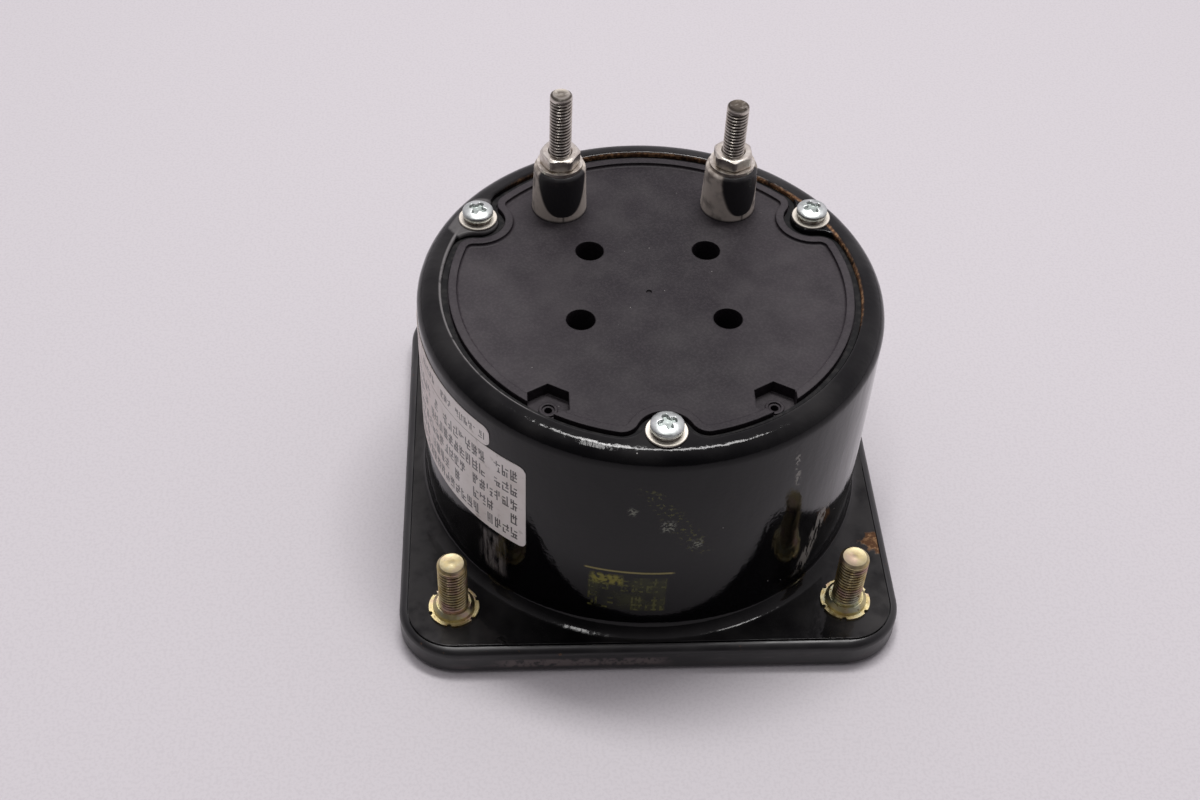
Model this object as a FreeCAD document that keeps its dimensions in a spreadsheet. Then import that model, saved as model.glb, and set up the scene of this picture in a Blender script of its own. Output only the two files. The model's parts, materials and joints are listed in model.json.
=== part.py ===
import FreeCAD, Part
import math
import os
import re
import Sketcher

# Round-bodied switchboard panel meter, lying on its face.
# Millimetres. Z = 0 is the front face of the bezel, +Z points to the rear of the meter,
# the barrel axis is the Z axis and the terminals stand on the +Y side.

os.makedirs("parts", exist_ok=True)
V = FreeCAD.Vector
doc = FreeCAD.newDocument("panel_meter")

# ---------------------------------------------------------------- driving dimensions
DIMENSIONS = [
    # bezel and window
    ("bezel_width", 109.6),
    ("bezel_corner", 13.0),
    ("bezel_height", 7.3),
    ("bezel_round", 1.5),
    ("window_radius", 40.0),
    ("glass_radius", 42.2),
    ("glass_thick", 2.0),
    ("front_lip", 1.6),
    ("seal_thick", 0.6),
    ("ring_thick", 0.8),
    # steel case
    ("flange_width", 105.6),
    ("flange_corner", 10.0),
    ("flange_top", 7.55),
    ("steel", 1.2),
    ("barrel_radius", 49.8),
    ("shoulder_top", 62.6),
    ("back_top", 63.2),
    ("shoulder_round", 3.0),
    ("foot_round", 3.2),
    ("opening_radius", 44.5),
    ("screw_circle", 42.55),
    ("lobe_radius", 4.5),
    ("lobe_fillet", 5.0),
    # mounting studs, 3.375 in apart, 1/4 in thread
    ("stud_pitch", 85.72),
    ("stud_radius", 3.175),
    ("stud_top", 23.3),
    ("shoulder_radius", 3.4),
    # moulded rear base
    ("base_radius", 46.7),
    ("base_under", 55.2),
    ("shelf_top", 61.2),
    ("plateau_top", 62.0),
    ("lip_top", 62.8),
    ("lip_gap", 1.5),
    ("lip_width", 1.7),
    # terminals, No. 10 thread
    ("post_spread", 18.85),
    ("post_back", 27.0),
    ("post_radius", 2.41),
    ("boss_radius", 6.1),
    ("boss_top", 73.8),
    ("post_top_left", 92.4),
    ("post_top_right", 89.6),
    ("nut_flats", 7.94),
    ("nut_height", 2.9),
    ("washer_thick", 0.8),
    # movement
    ("plate_under", 16.0),
    ("plate_top", 19.0),
    ("pillar_across", 26.0),
    ("pillar_along", 20.0),
    ("pole_under", 22.0),
    ("pole_top", 42.0),
    ("pole_inner", 20.2),
    ("pole_outer", 25.0),
    ("core_inner", 5.8),
    ("core_outer", 15.3),
    ("core_under", 24.7),
    ("core_top", 35.3),
    ("dial_under", 12.8),
    ("dial_thick", 0.6),
    ("dial_radius", 41.5),
    ("pointer_under", 11.0),
    ("pointer_thick", 0.4),
    ("zero_angle", -125.0),
    ("stop_angle", 130.4),
    ("adjuster_back", 46.2),
    ("crank_throw", 1.3),
]

sheet = doc.addObject("Spreadsheet::Sheet", "Dims")
for row, (alias, size) in enumerate(DIMENSIONS, start=1):
    sheet.set("A%d" % row, alias)
    sheet.set("B%d" % row, str(size))
    sheet.setAlias("B%d" % row, alias)
doc.recompute()
ALIASES = {alias for alias, size in DIMENSIONS}
nodes = []


def ref(expression):
    """The expression with each driving dimension read from the sheet."""
    def named(match):
        word = match.group()
        return "Dims." + word if word in ALIASES else word
    return re.sub(r"[a-z_]+", named, expression)


def size_of(expression):
    """The present value of an expression, as a float."""
    return float(sheet.evalExpression(re.sub(r"\s+", "", expression)))


def bind(item, prop, expression):
    item.setExpression(prop, ref(expression))


# ---------------------------------------------------------------- sketch helpers
def sketch_in(body, name, plane="XY_Plane", offset="0"):
    sketch = body.newObject("Sketcher::SketchObject", name)
    origin_plane = next(f for f in body.Origin.OriginFeatures if f.Role == plane)
    sketch.AttachmentSupport = (origin_plane, [""])
    sketch.MapMode = "FlatFace"
    bind(sketch, "AttachmentOffset.Base.z", offset)
    return sketch


def constrain(sketch, kind, *args):
    return sketch.addConstraint(Sketcher.Constraint(kind, *args))


def fix_point(sketch, curve, end, x, y):
    """Hold one point of a sketch at (x, y), each a driven expression."""
    for kind, expression, axis in (("DistanceX", x, -2), ("DistanceY", y, -1)):
        if abs(size_of(expression)) < 1e-9:
            constrain(sketch, "PointOnObject", curve, end, axis)
        else:
            index = constrain(sketch, kind, -1, 1, curve, end, size_of(expression))
            sketch.setExpression("Constraints[%d]" % index, ref(expression))


def circle(sketch, radius, x="0", y="0"):
    centre = V(size_of(x), size_of(y), 0)
    curve = sketch.addGeometry(Part.Circle(centre, V(0, 0, 1), size_of(radius)))
    fix_point(sketch, curve, 3, x, y)
    index = constrain(sketch, "Radius", curve, size_of(radius))
    sketch.setExpression("Constraints[%d]" % index, ref(radius))


def polygon(sketch, corners):
    """A closed outline of straight lines through driven (x, y) corners."""
    points = [V(size_of(x), size_of(y), 0) for x, y in corners]
    first = sketch.GeometryCount
    for a, b in zip(points, points[1:] + points[:1]):
        sketch.addGeometry(Part.LineSegment(a, b))
    for k, (x, y) in enumerate(corners):
        constrain(sketch, "Coincident", first + k, 1, first + (k - 1) % len(corners), 2)
        fix_point(sketch, first + k, 1, x, y)


def rectangle(sketch, left, front, right, back):
    polygon(sketch, [(left, front), (right, front), (right, back), (left, back)])


def hexagon(sketch, flats, x="0", y="0", corner_back=True):
    """A hexagon with a corner towards +Y, or with a flat towards +Y."""
    far = "(%s)/sqrt(3)" % flats
    half = "(%s)/2" % flats
    near = "(%s)/(2*sqrt(3))" % flats
    ring = [("0", far), ("-" + half, near), ("-" + half, "-" + near),
            ("0", "-" + far), (half, "-" + near), (half, near)]
    if not corner_back:
        ring = [(b, a) for a, b in ring]
    polygon(sketch, [("(%s)+(%s)" % (x, a), "(%s)+(%s)" % (y, b)) for a, b in ring])


def lobed_outline(sketch, gap):
    """The rear opening: a circle with three inward lobes, moved inwards by a gap."""
    gap = size_of(gap)
    opening = size_of("opening_radius") - gap
    lobe = size_of("lobe_radius") + gap
    blend = size_of("lobe_fillet") - gap
    screw = size_of("screw_circle")
    spread = math.acos(((opening - blend) ** 2 + screw ** 2 - (lobe + blend) ** 2)
                       / (2 * (opening - blend) * screw))

    def polar(radius, angle):
        return V(radius * math.cos(angle), radius * math.sin(angle), 0)

    for k in range(3):
        middle = math.radians(270 + 120 * k)
        centre = polar(screw, middle)
        touch = []
        for side in (-1, 1):
            blend_centre = polar(opening - blend, middle + side * spread)
            inner = centre + (blend_centre - centre) * (lobe / (lobe + blend))
            outer = polar(opening, middle + side * spread)
            bisector = ((inner - blend_centre) + (outer - blend_centre)).normalize()
            sketch.addGeometry(Part.Arc(inner, blend_centre + bisector * blend, outer))
            touch.append(inner)
        sketch.addGeometry(Part.Arc(touch[0], polar(screw - lobe, middle), touch[1]))
        start = middle + spread
        end = middle + math.radians(120) - spread
        sketch.addGeometry(Part.Arc(polar(opening, start), polar(opening, (start + end) / 2),
                                    polar(opening, end)))


def annular_sector(sketch, inner, outer, middle, half):
    """An arc-shaped band between two radii, spreading half an angle each way from its middle."""
    inner, outer = size_of(inner), size_of(outer)
    first, last, centre = (math.radians(a) for a in (middle - half, middle + half, middle))

    def polar(radius, angle):
        return V(radius * math.cos(angle), radius * math.sin(angle), 0)
    for radius in (inner, outer):
        sketch.addGeometry(Part.Arc(polar(radius, first), polar(radius, centre), polar(radius, last)))
    for angle in (first, last):
        sketch.addGeometry(Part.LineSegment(polar(inner, angle), polar(outer, angle)))


# ---------------------------------------------------------------- solid helpers
def new_body(name):
    body = doc.addObject("PartDesign::Body", name)
    body.Label = name
    body.AllowCompound = True
    nodes.append(body)
    return body


def prism(body, name, draw, bottom, height, cut=False, taper=None):
    """A straight block, added or cut, from a height upwards, with the outline that draw makes."""
    before = body.Shape.Volume if cut else 0
    outline = sketch_in(body, name + "_outline", offset=bottom)
    draw(outline)
    feature = body.newObject("PartDesign::Pocket" if cut else "PartDesign::Pad", name)
    feature.Profile = outline
    bind(feature, "Length", height)
    feature.Reversed = cut
    if taper:
        feature.TaperAngle = taper
    doc.recompute()
    if cut and not body.Shape.Volume < before - 1e-3:
        raise RuntimeError(body.Label + ": " + name + " cuts nothing")
    return feature


def turned(body, name, corners, cut=False):
    """A turned shape, added or cut, from (radius, height) corners in the XZ plane."""
    outline = sketch_in(body, name + "_profile", plane="XZ_Plane")
    polygon(outline, corners)
    feature = body.newObject("PartDesign::Groove" if cut else "PartDesign::Revolution", name)
    feature.Profile = outline
    feature.ReferenceAxis = (outline, ["V_Axis"])
    feature.Angle = 360
    doc.recompute()
    return feature


def soften(body, name, radius, wanted, chamfer=False):
    """Round, or chamfer, the edges of the tip that the test picks."""
    base = body.Tip
    edges = ["Edge%d" % (k + 1) for k, edge in enumerate(base.Shape.Edges) if wanted(edge)]
    if not edges:
        raise RuntimeError(body.Label + ": no edges for " + name)
    feature = body.newObject("PartDesign::Chamfer" if chamfer else "PartDesign::Fillet", name)
    feature.Base = (base, edges)
    bind(feature, "Size" if chamfer else "Radius", radius)
    doc.recompute()
    return feature


def is_circle(edge):
    return isinstance(edge.Curve, Part.Circle)


def ring_at(height, radius=None):
    """Test for round edges that lie flat at a height, and have a radius when one is given."""
    level = size_of(height)

    def wanted(edge):
        if not is_circle(edge) or abs(abs(edge.Curve.Axis.z) - 1) > 1e-6:
            return False
        if abs(edge.Curve.Center.z - level) > 1e-4:
            return False
        return radius is None or abs(edge.Curve.Radius - size_of(radius)) < 1e-4
    return wanted


def flat_edge_at(height, least_reach=0.0):
    """Test for edges that lie wholly at a height and reach far enough from the axis."""
    level = size_of(height)

    def wanted(edge):
        box = edge.BoundBox
        reach = max(abs(box.XMin), abs(box.XMax), abs(box.YMin), abs(box.YMax))
        return abs(box.ZMin - level) < 1e-4 and abs(box.ZMax - level) < 1e-4 and reach > least_reach
    return wanted


def upright_edge(least_reach):
    """Test for straight edges along Z, far enough from the axis both ways."""
    def wanted(edge):
        box = edge.BoundBox
        return (box.ZLength > 0.3 and box.XLength < 1e-4 and box.YLength < 1e-4
                and abs(box.XMin) > least_reach and abs(box.YMin) > least_reach)
    return wanted


def square_block(body, name, width, corner, bottom, height, cut=False, hole=None):
    """A square block with round corners, and a round hole when a radius is given."""
    half = "(%s)/2" % width
    round_by = size_of(corner)
    side = size_of(half)

    def draw(outline):
        inset = side - round_by
        for k in range(4):
            turn = math.radians(90 * k)
            spin = FreeCAD.Rotation(V(0, 0, 1), 90 * k)
            start = spin.multVec(V(side, -inset, 0))
            end = spin.multVec(V(side, inset, 0))
            outline.addGeometry(Part.LineSegment(start, end))
            centre = spin.multVec(V(inset, inset, 0))
            middle = centre + V(math.cos(turn + math.pi / 4), math.sin(turn + math.pi / 4), 0) * round_by
            outline.addGeometry(Part.Arc(end, middle, spin.multVec(V(inset, side, 0))))
        if hole:
            circle(outline, hole)
    return prism(body, name, draw, bottom, height, cut)


def corners_of(pitch):
    """The four corners of a square of this pitch, as expressions."""
    half = "(%s)/2" % pitch
    return [(half, half), ("-" + half, half), ("-" + half, "-" + half), (half, "-" + half)]


def round_three():
    """The places of the three case screws, as expressions."""
    return [("screw_circle*cos(%d)" % a, "screw_circle*sin(%d)" % a) for a in (270, 30, 150)]


def circles(places, radius):
    def draw(outline):
        for x, y in places:
            circle(outline, radius, x, y)
    return draw


def rings(places, outer, inner):
    def draw(outline):
        for x, y in places:
            circle(outline, outer, x, y)
            circle(outline, inner, x, y)
    return draw


def block(left, front, right, back):
    return lambda outline: rectangle(outline, left, front, right, back)


STUDS = corners_of("stud_pitch")
POSTS = {"left": ("-post_spread", "post_back"), "right": ("post_spread", "post_back")}
INSERTS = [("12.7", "11.8"), ("-12.7", "11.8"), ("15.4", "-9.7"), ("-15.4", "-9.7")]
HEX_POCKETS = [("22.7", "-32.8"), ("-22.7", "-32.8")]
PILLARS = [(a + "pillar_across", b + "pillar_along") for a in ("", "-") for b in ("", "-")]


# ---------------------------------------------------------------- case, bezel and window
def make_bezel():
    body = new_body("front_bezel")
    square_block(body, "plate", "bezel_width", "bezel_corner", "0", "bezel_height", hole="window_radius")
    soften(body, "front_edge", "bezel_round", flat_edge_at("0", size_of("window_radius") + 1))
    soften(body, "rear_edge", "1.8", flat_edge_at("bezel_height", size_of("window_radius") + 1))
    soften(body, "window_bevel", "1.1", ring_at("0", "window_radius"), chamfer=True)
    square_block(body, "case_recess", "flange_width+0.5", "flange_corner+0.25", "flange_top-steel-0.5",
                 "5", cut=True)
    prism(body, "glass_pocket", circles([("0", "0")], "glass_radius+0.2"), "front_lip", "20", cut=True)
    prism(body, "ring_groove", circles([("0", "0")], "glass_radius+0.8"),
          "front_lip+seal_thick+glass_thick", "ring_thick", cut=True)
    prism(body, "stud_pockets", circles(STUDS, "5.3"), "2.6", "20", cut=True)
    prism(body, "adjuster_hole", circles([("0", "adjuster_back")], "1.55"), "0.5", "20", cut=True)
    prism(body, "adjuster_seat", circles([("0", "adjuster_back")], "2.6"), "-1", "2.1", cut=True)


def make_window():
    seal = new_body("window_gasket")
    prism(seal, "ring", rings([("0", "0")], "glass_radius", "window_radius+0.5"), "front_lip", "seal_thick")
    glass = new_body("window_glass")
    prism(glass, "disc", circles([("0", "0")], "glass_radius"), "front_lip+seal_thick", "glass_thick")
    soften(glass, "ground_edges", "0.2", lambda edge: is_circle(edge), chamfer=True)
    ring = new_body("window_retainer")
    prism(ring, "ring", rings([("0", "0")], "glass_radius+0.7", "window_radius+0.2"),
          "front_lip+seal_thick+glass_thick", "ring_thick")
    prism(ring, "gap", block("-2.5", "window_radius-3", "2.5", "glass_radius+3"), "3", "5", cut=True)


def make_case():
    body = new_body("case_shell")
    square_block(body, "flange", "flange_width", "flange_corner", "flange_top-steel", "steel",
                 hole="barrel_radius-steel")
    turned(body, "barrel", [
        ("barrel_radius-steel", "flange_top-steel"), ("barrel_radius", "flange_top-steel"),
        ("barrel_radius", "shoulder_top"), ("opening_radius", "back_top"), ("34", "back_top"),
        ("34", "back_top-steel"), ("opening_radius", "back_top-steel"),
        ("barrel_radius-steel", "shoulder_top-steel")])
    soften(body, "shoulder", "shoulder_round", ring_at("shoulder_top", "barrel_radius"))
    soften(body, "inner_shoulder", "shoulder_round-steel",
           ring_at("shoulder_top-steel", "barrel_radius-steel"))
    soften(body, "foot", "foot_round", ring_at("flange_top", "barrel_radius"))
    soften(body, "inner_foot", "foot_round-steel", ring_at("flange_top-steel", "barrel_radius-steel"))
    prism(body, "rear_opening", lambda s: lobed_outline(s, "0"), "back_top-2*steel", "5", cut=True)
    prism(body, "screw_holes", circles(round_three(), "1.9"), "back_top-2*steel", "5", cut=True)
    prism(body, "stud_holes", circles(STUDS, "shoulder_radius+0.15"), "flange_top-2*steel", "5", cut=True)

    seal = new_body("case_gasket")
    square_block(seal, "sheet", "flange_width-1", "flange_corner-0.5", "flange_top-steel-0.5", "0.5",
                 hole="barrel_radius-steel-0.2")
    prism(seal, "stud_holes", circles(STUDS, "shoulder_radius+0.3"), "0", "20", cut=True)


def make_mounting_studs():
    studs = new_body("mounting_studs")
    prism(studs, "heads", circles(STUDS, "5.1"), "2.7", "flange_top-steel-0.5-2.7")
    prism(studs, "shoulders", circles(STUDS, "shoulder_radius"), "4", "flange_top+2.45-4")
    prism(studs, "threads", circles(STUDS, "stud_radius"), "8", "stud_top-8")
    soften(studs, "tips", "0.7", ring_at("stud_top"), chamfer=True)

    collars = new_body("stud_collars")
    prism(collars, "washers", rings(STUDS, "5.45", "shoulder_radius+0.05"), "flange_top", "0.7")
    prism(collars, "hubs", rings(STUDS, "4.5", "shoulder_radius+0.05"), "flange_top+0.7", "1.6")
    soften(collars, "cones", "0.75", ring_at("flange_top+2.3", "4.5"), chamfer=True)

    def notches(outline):
        for x, y in STUDS:
            for k in range(6):
                angle = 60 * k + 20
                circle(outline, "0.55", "%s+5.45*cos(%d)" % (x, angle), "%s+5.45*sin(%d)" % (y, angle))
    prism(collars, "notches", notches, "flange_top-1", "3", cut=True)


# ---------------------------------------------------------------- moulded base and terminals
def make_base():
    body = new_body("terminal_base")
    prism(body, "disc", circles([("0", "0")], "base_radius"), "base_under", "shelf_top-base_under")
    prism(body, "screw_bosses", circles(round_three(), "4.2"), "base_under-3", "4")
    prism(body, "insert_bosses", circles(INSERTS, "4.6"), "base_under-5", "6")
    prism(body, "raised_panel", lambda s: lobed_outline(s, "lip_gap"), "shelf_top-1", "lip_top-shelf_top+1")
    prism(body, "plateau", lambda s: lobed_outline(s, "lip_gap+lip_width"), "plateau_top", "5", cut=True)
    soften(body, "plateau_rim", "0.55", flat_edge_at("plateau_top", 20))
    prism(body, "bosses", circles(POSTS.values(), "boss_radius"), "plateau_top-0.5",
          "boss_top-plateau_top+0.5", taper=-2.1)
    soften(body, "boss_tops", "0.9", lambda edge: ring_at("boss_top")(edge) and edge.Curve.Radius > 5)
    prism(body, "post_holes", circles(POSTS.values(), "post_radius+0.06"), "0", "100", cut=True)
    prism(body, "insert_holes", circles(INSERTS, "3.1"), "plateau_top-10", "20", cut=True)
    prism(body, "screw_holes", circles(round_three(), "1.8"), "base_under-2", "20", cut=True)
    prism(body, "hex_pockets", lambda s: [hexagon(s, "8.3", x, y) for x, y in HEX_POCKETS],
          "plateau_top-2.8", "20", cut=True)
    prism(body, "pocket_rings", rings(HEX_POCKETS, "1.9", "1.3"), "plateau_top-3", "0.6")
    prism(body, "pocket_holes", circles(HEX_POCKETS, "0.8"), "plateau_top-6", "5", cut=True)
    prism(body, "gate_mark", circles([("-0.6", "-1.3")], "0.6"), "plateau_top-0.4", "5", cut=True)

    seal = new_body("base_gasket")

    def outline_of_seal(outline):
        circle(outline, "opening_radius+0.8")
        lobed_outline(outline, "lip_gap-0.3")
    prism(seal, "ring", outline_of_seal, "shelf_top", "0.6")
    prism(seal, "screw_holes", circles(round_three(), "1.9"), "0", "100", cut=True)


def make_case_screws():
    washers = new_body("case_screw_washers")
    prism(washers, "discs", rings(round_three(), "4.2", "1.9"), "back_top", "0.5")
    springs = new_body("case_lock_washers")
    prism(springs, "discs", rings(round_three(), "3.0", "1.85"), "back_top+0.5", "0.8")

    def slits(outline):
        for x, y in round_three():
            rectangle(outline, x + "-0.25", y, x + "+0.25", y + "+4")
    prism(springs, "slits", slits, "back_top", "5", cut=True)

    screws = new_body("case_screws")
    prism(screws, "heads", circles(round_three(), "3.35"), "back_top+1.3", "2.0")
    soften(screws, "head_domes", "1.1", ring_at("back_top+3.3"))
    prism(screws, "shanks", circles(round_three(), "1.75"), "base_under-1", "back_top+1.4-base_under+1")

    def crosses(outline):
        for x, y in round_three():
            arm, half = "1.9", "0.45"
            polygon(outline, [
                (x + "-" + arm, y + "-" + half), (x + "-" + half, y + "-" + half),
                (x + "-" + half, y + "-" + arm), (x + "+" + half, y + "-" + arm),
                (x + "+" + half, y + "-" + half), (x + "+" + arm, y + "-" + half),
                (x + "+" + arm, y + "+" + half), (x + "+" + half, y + "+" + half),
                (x + "+" + half, y + "+" + arm), (x + "-" + half, y + "+" + arm),
                (x + "-" + half, y + "+" + half), (x + "-" + arm, y + "+" + half)])
    prism(screws, "recesses", crosses, "back_top+2.1", "3", cut=True)


def make_terminals():
    for side, corner_back in (("left", False), ("right", True)):
        x, y = POSTS[side]
        top = "post_top_" + side
        post = new_body("terminal_stud_" + side)
        prism(post, "head", lambda s: hexagon(s, "9.5", x, y), "base_under-4.7", "4")
        prism(post, "shank", circles([(x, y)], "post_radius"), "base_under-1", top + "-base_under+1")
        prism(post, "thread_root", rings([(x, y)], "post_radius+1", "2.2"),
              "boss_top+washer_thick+nut_height-0.9", "1", cut=True)
        soften(post, "tip", "0.8", ring_at(top), chamfer=True)

        nut = new_body("terminal_nut_" + side)
        seat = "boss_top+washer_thick"
        prism(nut, "hexagon", lambda s: hexagon(s, "nut_flats", x, y, corner_back), seat, "nut_height")
        prism(nut, "thread", circles([(x, y)], "post_radius+0.05"), seat + "-1", "10", cut=True)

        lug = new_body("solder_lug_" + side)

        def tag(outline):
            rectangle(outline, x + "-2.6", "post_back-11", x + "+2.6", "post_back+3.6")
            circle(outline, "post_radius+0.1", x, y)
        prism(lug, "tag", tag, "base_under-0.7", "0.6")
        prism(lug, "eye", circles([(x, "post_back-9")], "1.0"), "base_under-2", "3", cut=True)

    washers = new_body("terminal_washers")
    prism(washers, "discs", rings(POSTS.values(), "5.0", "post_radius+0.1"), "boss_top", "washer_thick")


# ---------------------------------------------------------------- labels on the barrel
def make_label(name, middle, half, low, high):
    """A sticker that follows the barrel around an angle, between two heights."""
    body = new_body(name)

    def outline(sketch):
        annular_sector(sketch, "barrel_radius+0.02", "barrel_radius+0.14", middle, half)
    prism(body, "sticker", outline, low, "%s-%s" % (high, low))


# ---------------------------------------------------------------- dial and pointer
def pointer_place(radius, across="0", angle="zero_angle"):
    """A point in the direction of the pointer, measured from the meter's top, -Y."""
    return ("(%s)*sin(%s)+(%s)*cos(%s)" % (radius, angle, across, angle),
            "(%s)*sin(%s)-(%s)*cos(%s)" % (across, angle, radius, angle))


def make_dial():
    dial = new_body("dial_plate")
    prism(dial, "disc", circles([("0", "0")], "dial_radius"), "dial_under", "dial_thick")
    prism(dial, "centre_hole", circles([("0", "0")], "10"), "0", "30", cut=True)
    prism(dial, "bridge_slot", block("-5.5", "5", "5.5", "20.5"), "0", "30", cut=True)
    places = [("18", "25.5"), ("-18", "25.5")]
    prism(dial, "screw_holes", circles(places, "1.3"), "0", "30", cut=True)

    posts = new_body("dial_posts")
    prism(posts, "posts", circles(places, "2.2"),
          "dial_under+dial_thick", "plate_under-dial_under-dial_thick")
    prism(posts, "threads", circles(places, "1.1"), "dial_under", "5", cut=True)
    screws = new_body("dial_screws")
    prism(screws, "heads", circles(places, "2.2"), "dial_under-1.2", "1.2")
    soften(screws, "domes", "0.6", ring_at("dial_under-1.2"))
    prism(screws, "shanks", circles(places, "1.05"), "dial_under-0.2", "3")

    def slots(outline):
        for x, y in places:
            rectangle(outline, x + "-2.5", y + "-0.3", x + "+2.5", y + "+0.3")
    prism(screws, "slots", slots, "dial_under-2", "1.3", cut=True)

    stops = new_body("pointer_stops")
    pins = [pointer_place("30", "0", "stop_angle"), pointer_place("30", "0", "-stop_angle")]
    prism(stops, "pins", circles(pins, "0.6"), "dial_under-2.4", "2.4")


def make_pointer():
    body = new_body("pointer")

    def blade(outline):
        polygon(outline, [
            pointer_place("-10", "-0.7"), pointer_place("4", "-1.6"),
            pointer_place("30", "-0.5"), pointer_place("36", "-0.12"),
            pointer_place("36", "0.12"), pointer_place("30", "0.5"),
            pointer_place("4", "1.6"), pointer_place("-10", "0.7")])
    prism(body, "blade", blade, "pointer_under", "pointer_thick")

    def cross_arm(outline):
        polygon(outline, [pointer_place("-0.6", "-8.6"), pointer_place("0.6", "-8.6"),
                          pointer_place("0.6", "8.6"), pointer_place("-0.6", "8.6")])
    prism(body, "cross_arm", cross_arm, "pointer_under", "pointer_thick")
    prism(body, "hub", circles([("0", "0")], "2.2"), "pointer_under", "1.0")
    prism(body, "staff_hole", circles([("0", "0")], "0.83"), "0", "30", cut=True)

    weights = new_body("balance_weights")
    places = [pointer_place("0", "7.6"), pointer_place("0", "-7.6"), pointer_place("-8.8")]
    prism(weights, "weights", circles(places, "1.0"), "pointer_under+pointer_thick", "1.0")


def spiral_strip(turns, start_radius, end_radius, strip):
    """The face between a spiral and the same spiral moved outwards by the strip's thickness."""
    def curve(offset):
        count = int(turns * 12)
        points = []
        for k in range(count + 1):
            share = k / count
            angle = 2 * math.pi * turns * share
            radius = start_radius + (end_radius - start_radius) * share + offset
            points.append(V(radius * math.cos(angle), radius * math.sin(angle), 0))
        spline = Part.BSplineCurve()
        spline.interpolate(points)
        return spline.toShape(), points
    inner, inner_points = curve(0)
    outer, outer_points = curve(strip)
    ends = [Part.makeLine(inner_points[k], outer_points[k]) for k in (0, -1)]
    return Part.Face(Part.Wire(Part.__sortEdges__([inner, outer] + ends)))


def make_hairspring(name, bottom):
    """A flat spiral spring: no sketch curve follows a spiral, so its face is set in code."""
    spring = doc.addObject("Part::Feature", name)
    spring.Label = name
    spring.Shape = spiral_strip(4, 1.35, 5.75, 0.12).extrude(V(0, 0, 0.6))
    spring.Placement.Base = V(0, 0, size_of(bottom))
    nodes.append(spring)


# ---------------------------------------------------------------- zero adjuster
def make_zero_adjuster():
    x, y = "0", "adjuster_back"
    body = new_body("zero_adjuster")
    prism(body, "head", circles([(x, y)], "2.5"), "0.15", "0.9")
    prism(body, "shaft", circles([(x, y)], "1.5"), "0.5", "5.6")
    prism(body, "disc", circles([(x, y)], "1.9"), "6.1", "0.9")
    prism(body, "pin", circles([(x, y + "-crank_throw")], "0.4"), "6.5", "3.4")
    prism(body, "slot", block("-3", y + "-0.4", "3", y + "+0.4"), "-1", "1.7", cut=True)

    lever = new_body("zero_lever")
    prism(lever, "ring", circles([("0", "0")], "4.0"), "5.75", "0.6")
    prism(lever, "front_arm", block("-1.4", "3", "1.4", "24"), "5.75", "0.6")
    prism(lever, "step", block("-1.4", "23.4", "1.4", "24"), "5.75", "3.2")
    prism(lever, "rear_arm", block("-1.4", "23.4", "1.4", "47"), "8.35", "0.6")
    prism(lever, "spring_ear", block("1", "-1", "6.5", "1"), "5.75", "0.6")
    prism(lever, "spring_tab", block("5.9", "-1", "6.5", "1"), "5.75", "4.6")
    prism(lever, "bore", circles([("0", "0")], "2.26"), "0", "8", cut=True)
    prism(lever, "fork", block("-0.53", "42.3", "0.53", "48"), "7", "4", cut=True)


# ---------------------------------------------------------------- movement
def make_movement_frame():
    plate = new_body("movement_plate")
    prism(plate, "plate", block("-29", "-29", "29", "29"), "plate_under", "plate_top-plate_under")
    soften(plate, "corners", "6", upright_edge(20))
    prism(plate, "staff_hole", circles([("0", "0")], "4.5"), "0", "40", cut=True)
    prism(plate, "pillar_holes", circles(PILLARS, "1.6"), "0", "40", cut=True)
    prism(plate, "pole_posts", circles([("22.6", "0"), ("-22.6", "0"), ("0", "-22.6")], "2.2"),
          "plate_top-0.5", "pole_under-plate_top+0.5")

    pillars = new_body("movement_pillars")
    prism(pillars, "pillars", circles(PILLARS, "2.6"), "plate_top", "base_under-plate_top")
    prism(pillars, "threads", circles(PILLARS, "1.45"), "0", "plate_top+8", cut=True)
    screws = new_body("movement_screws")
    prism(screws, "heads", circles(PILLARS, "2.7"), "plate_under-1.6", "1.6")
    soften(screws, "domes", "0.7", ring_at("plate_under-1.6"))
    prism(screws, "shanks", circles(PILLARS, "1.4"), "plate_under-0.2", "9")

    def slots(outline):
        for x, y in PILLARS:
            rectangle(outline, x + "-3", y + "-0.35", x + "+3", y + "+0.35")
    prism(screws, "slots", slots, "plate_under-3", "2.1", cut=True)

    bridge = new_body("front_bridge")
    prism(bridge, "post", block("-4", "14", "4", "19.5"), "6.7", "plate_under-6.7")
    prism(bridge, "arm", block("-3.4", "0", "3.4", "15"), "6.7", "1.6")
    prism(bridge, "boss", circles([("0", "0")], "3.6"), "6.7", "2.2")
    prism(bridge, "lever_bushing", circles([("0", "0")], "2.2"), "5.65", "1.2")
    prism(bridge, "jewel_hole", circles([("0", "0")], "1.5"), "0", "12", cut=True)

    rear = new_body("rear_bridge")
    prism(rear, "strip", block("-25.5", "-4", "25.5", "4"), "pole_top+2.6", "2.4")
    prism(rear, "feet", lambda s: [rectangle(s, "-24.8", "-3", "-20.6", "3"),
                                   rectangle(s, "20.6", "-3", "24.8", "3")], "pole_top", "2.8")
    prism(rear, "boss", circles([("0", "0")], "3.6"), "pole_top+2.2", "3.6")
    prism(rear, "jewel_hole", circles([("0", "0")], "1.5"), "pole_top", "12", cut=True)
    prism(rear, "spring_anchor", block("5.9", "-0.8", "6.5", "0.8"), "pole_top-0.5", "3.2")
    prism(rear, "screw_holes", circles([("-22.7", "0"), ("22.7", "0")], "1.3"), "pole_top-2", "12", cut=True)
    bolts = new_body("rear_bridge_screws")
    places = [("-22.7", "0"), ("22.7", "0")]
    prism(bolts, "heads", circles(places, "2.2"), "pole_top+5", "1.5")
    soften(bolts, "domes", "0.6", ring_at("pole_top+6.5"))
    prism(bolts, "shanks", circles(places, "1.2"), "pole_top-4", "9.5")


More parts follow.
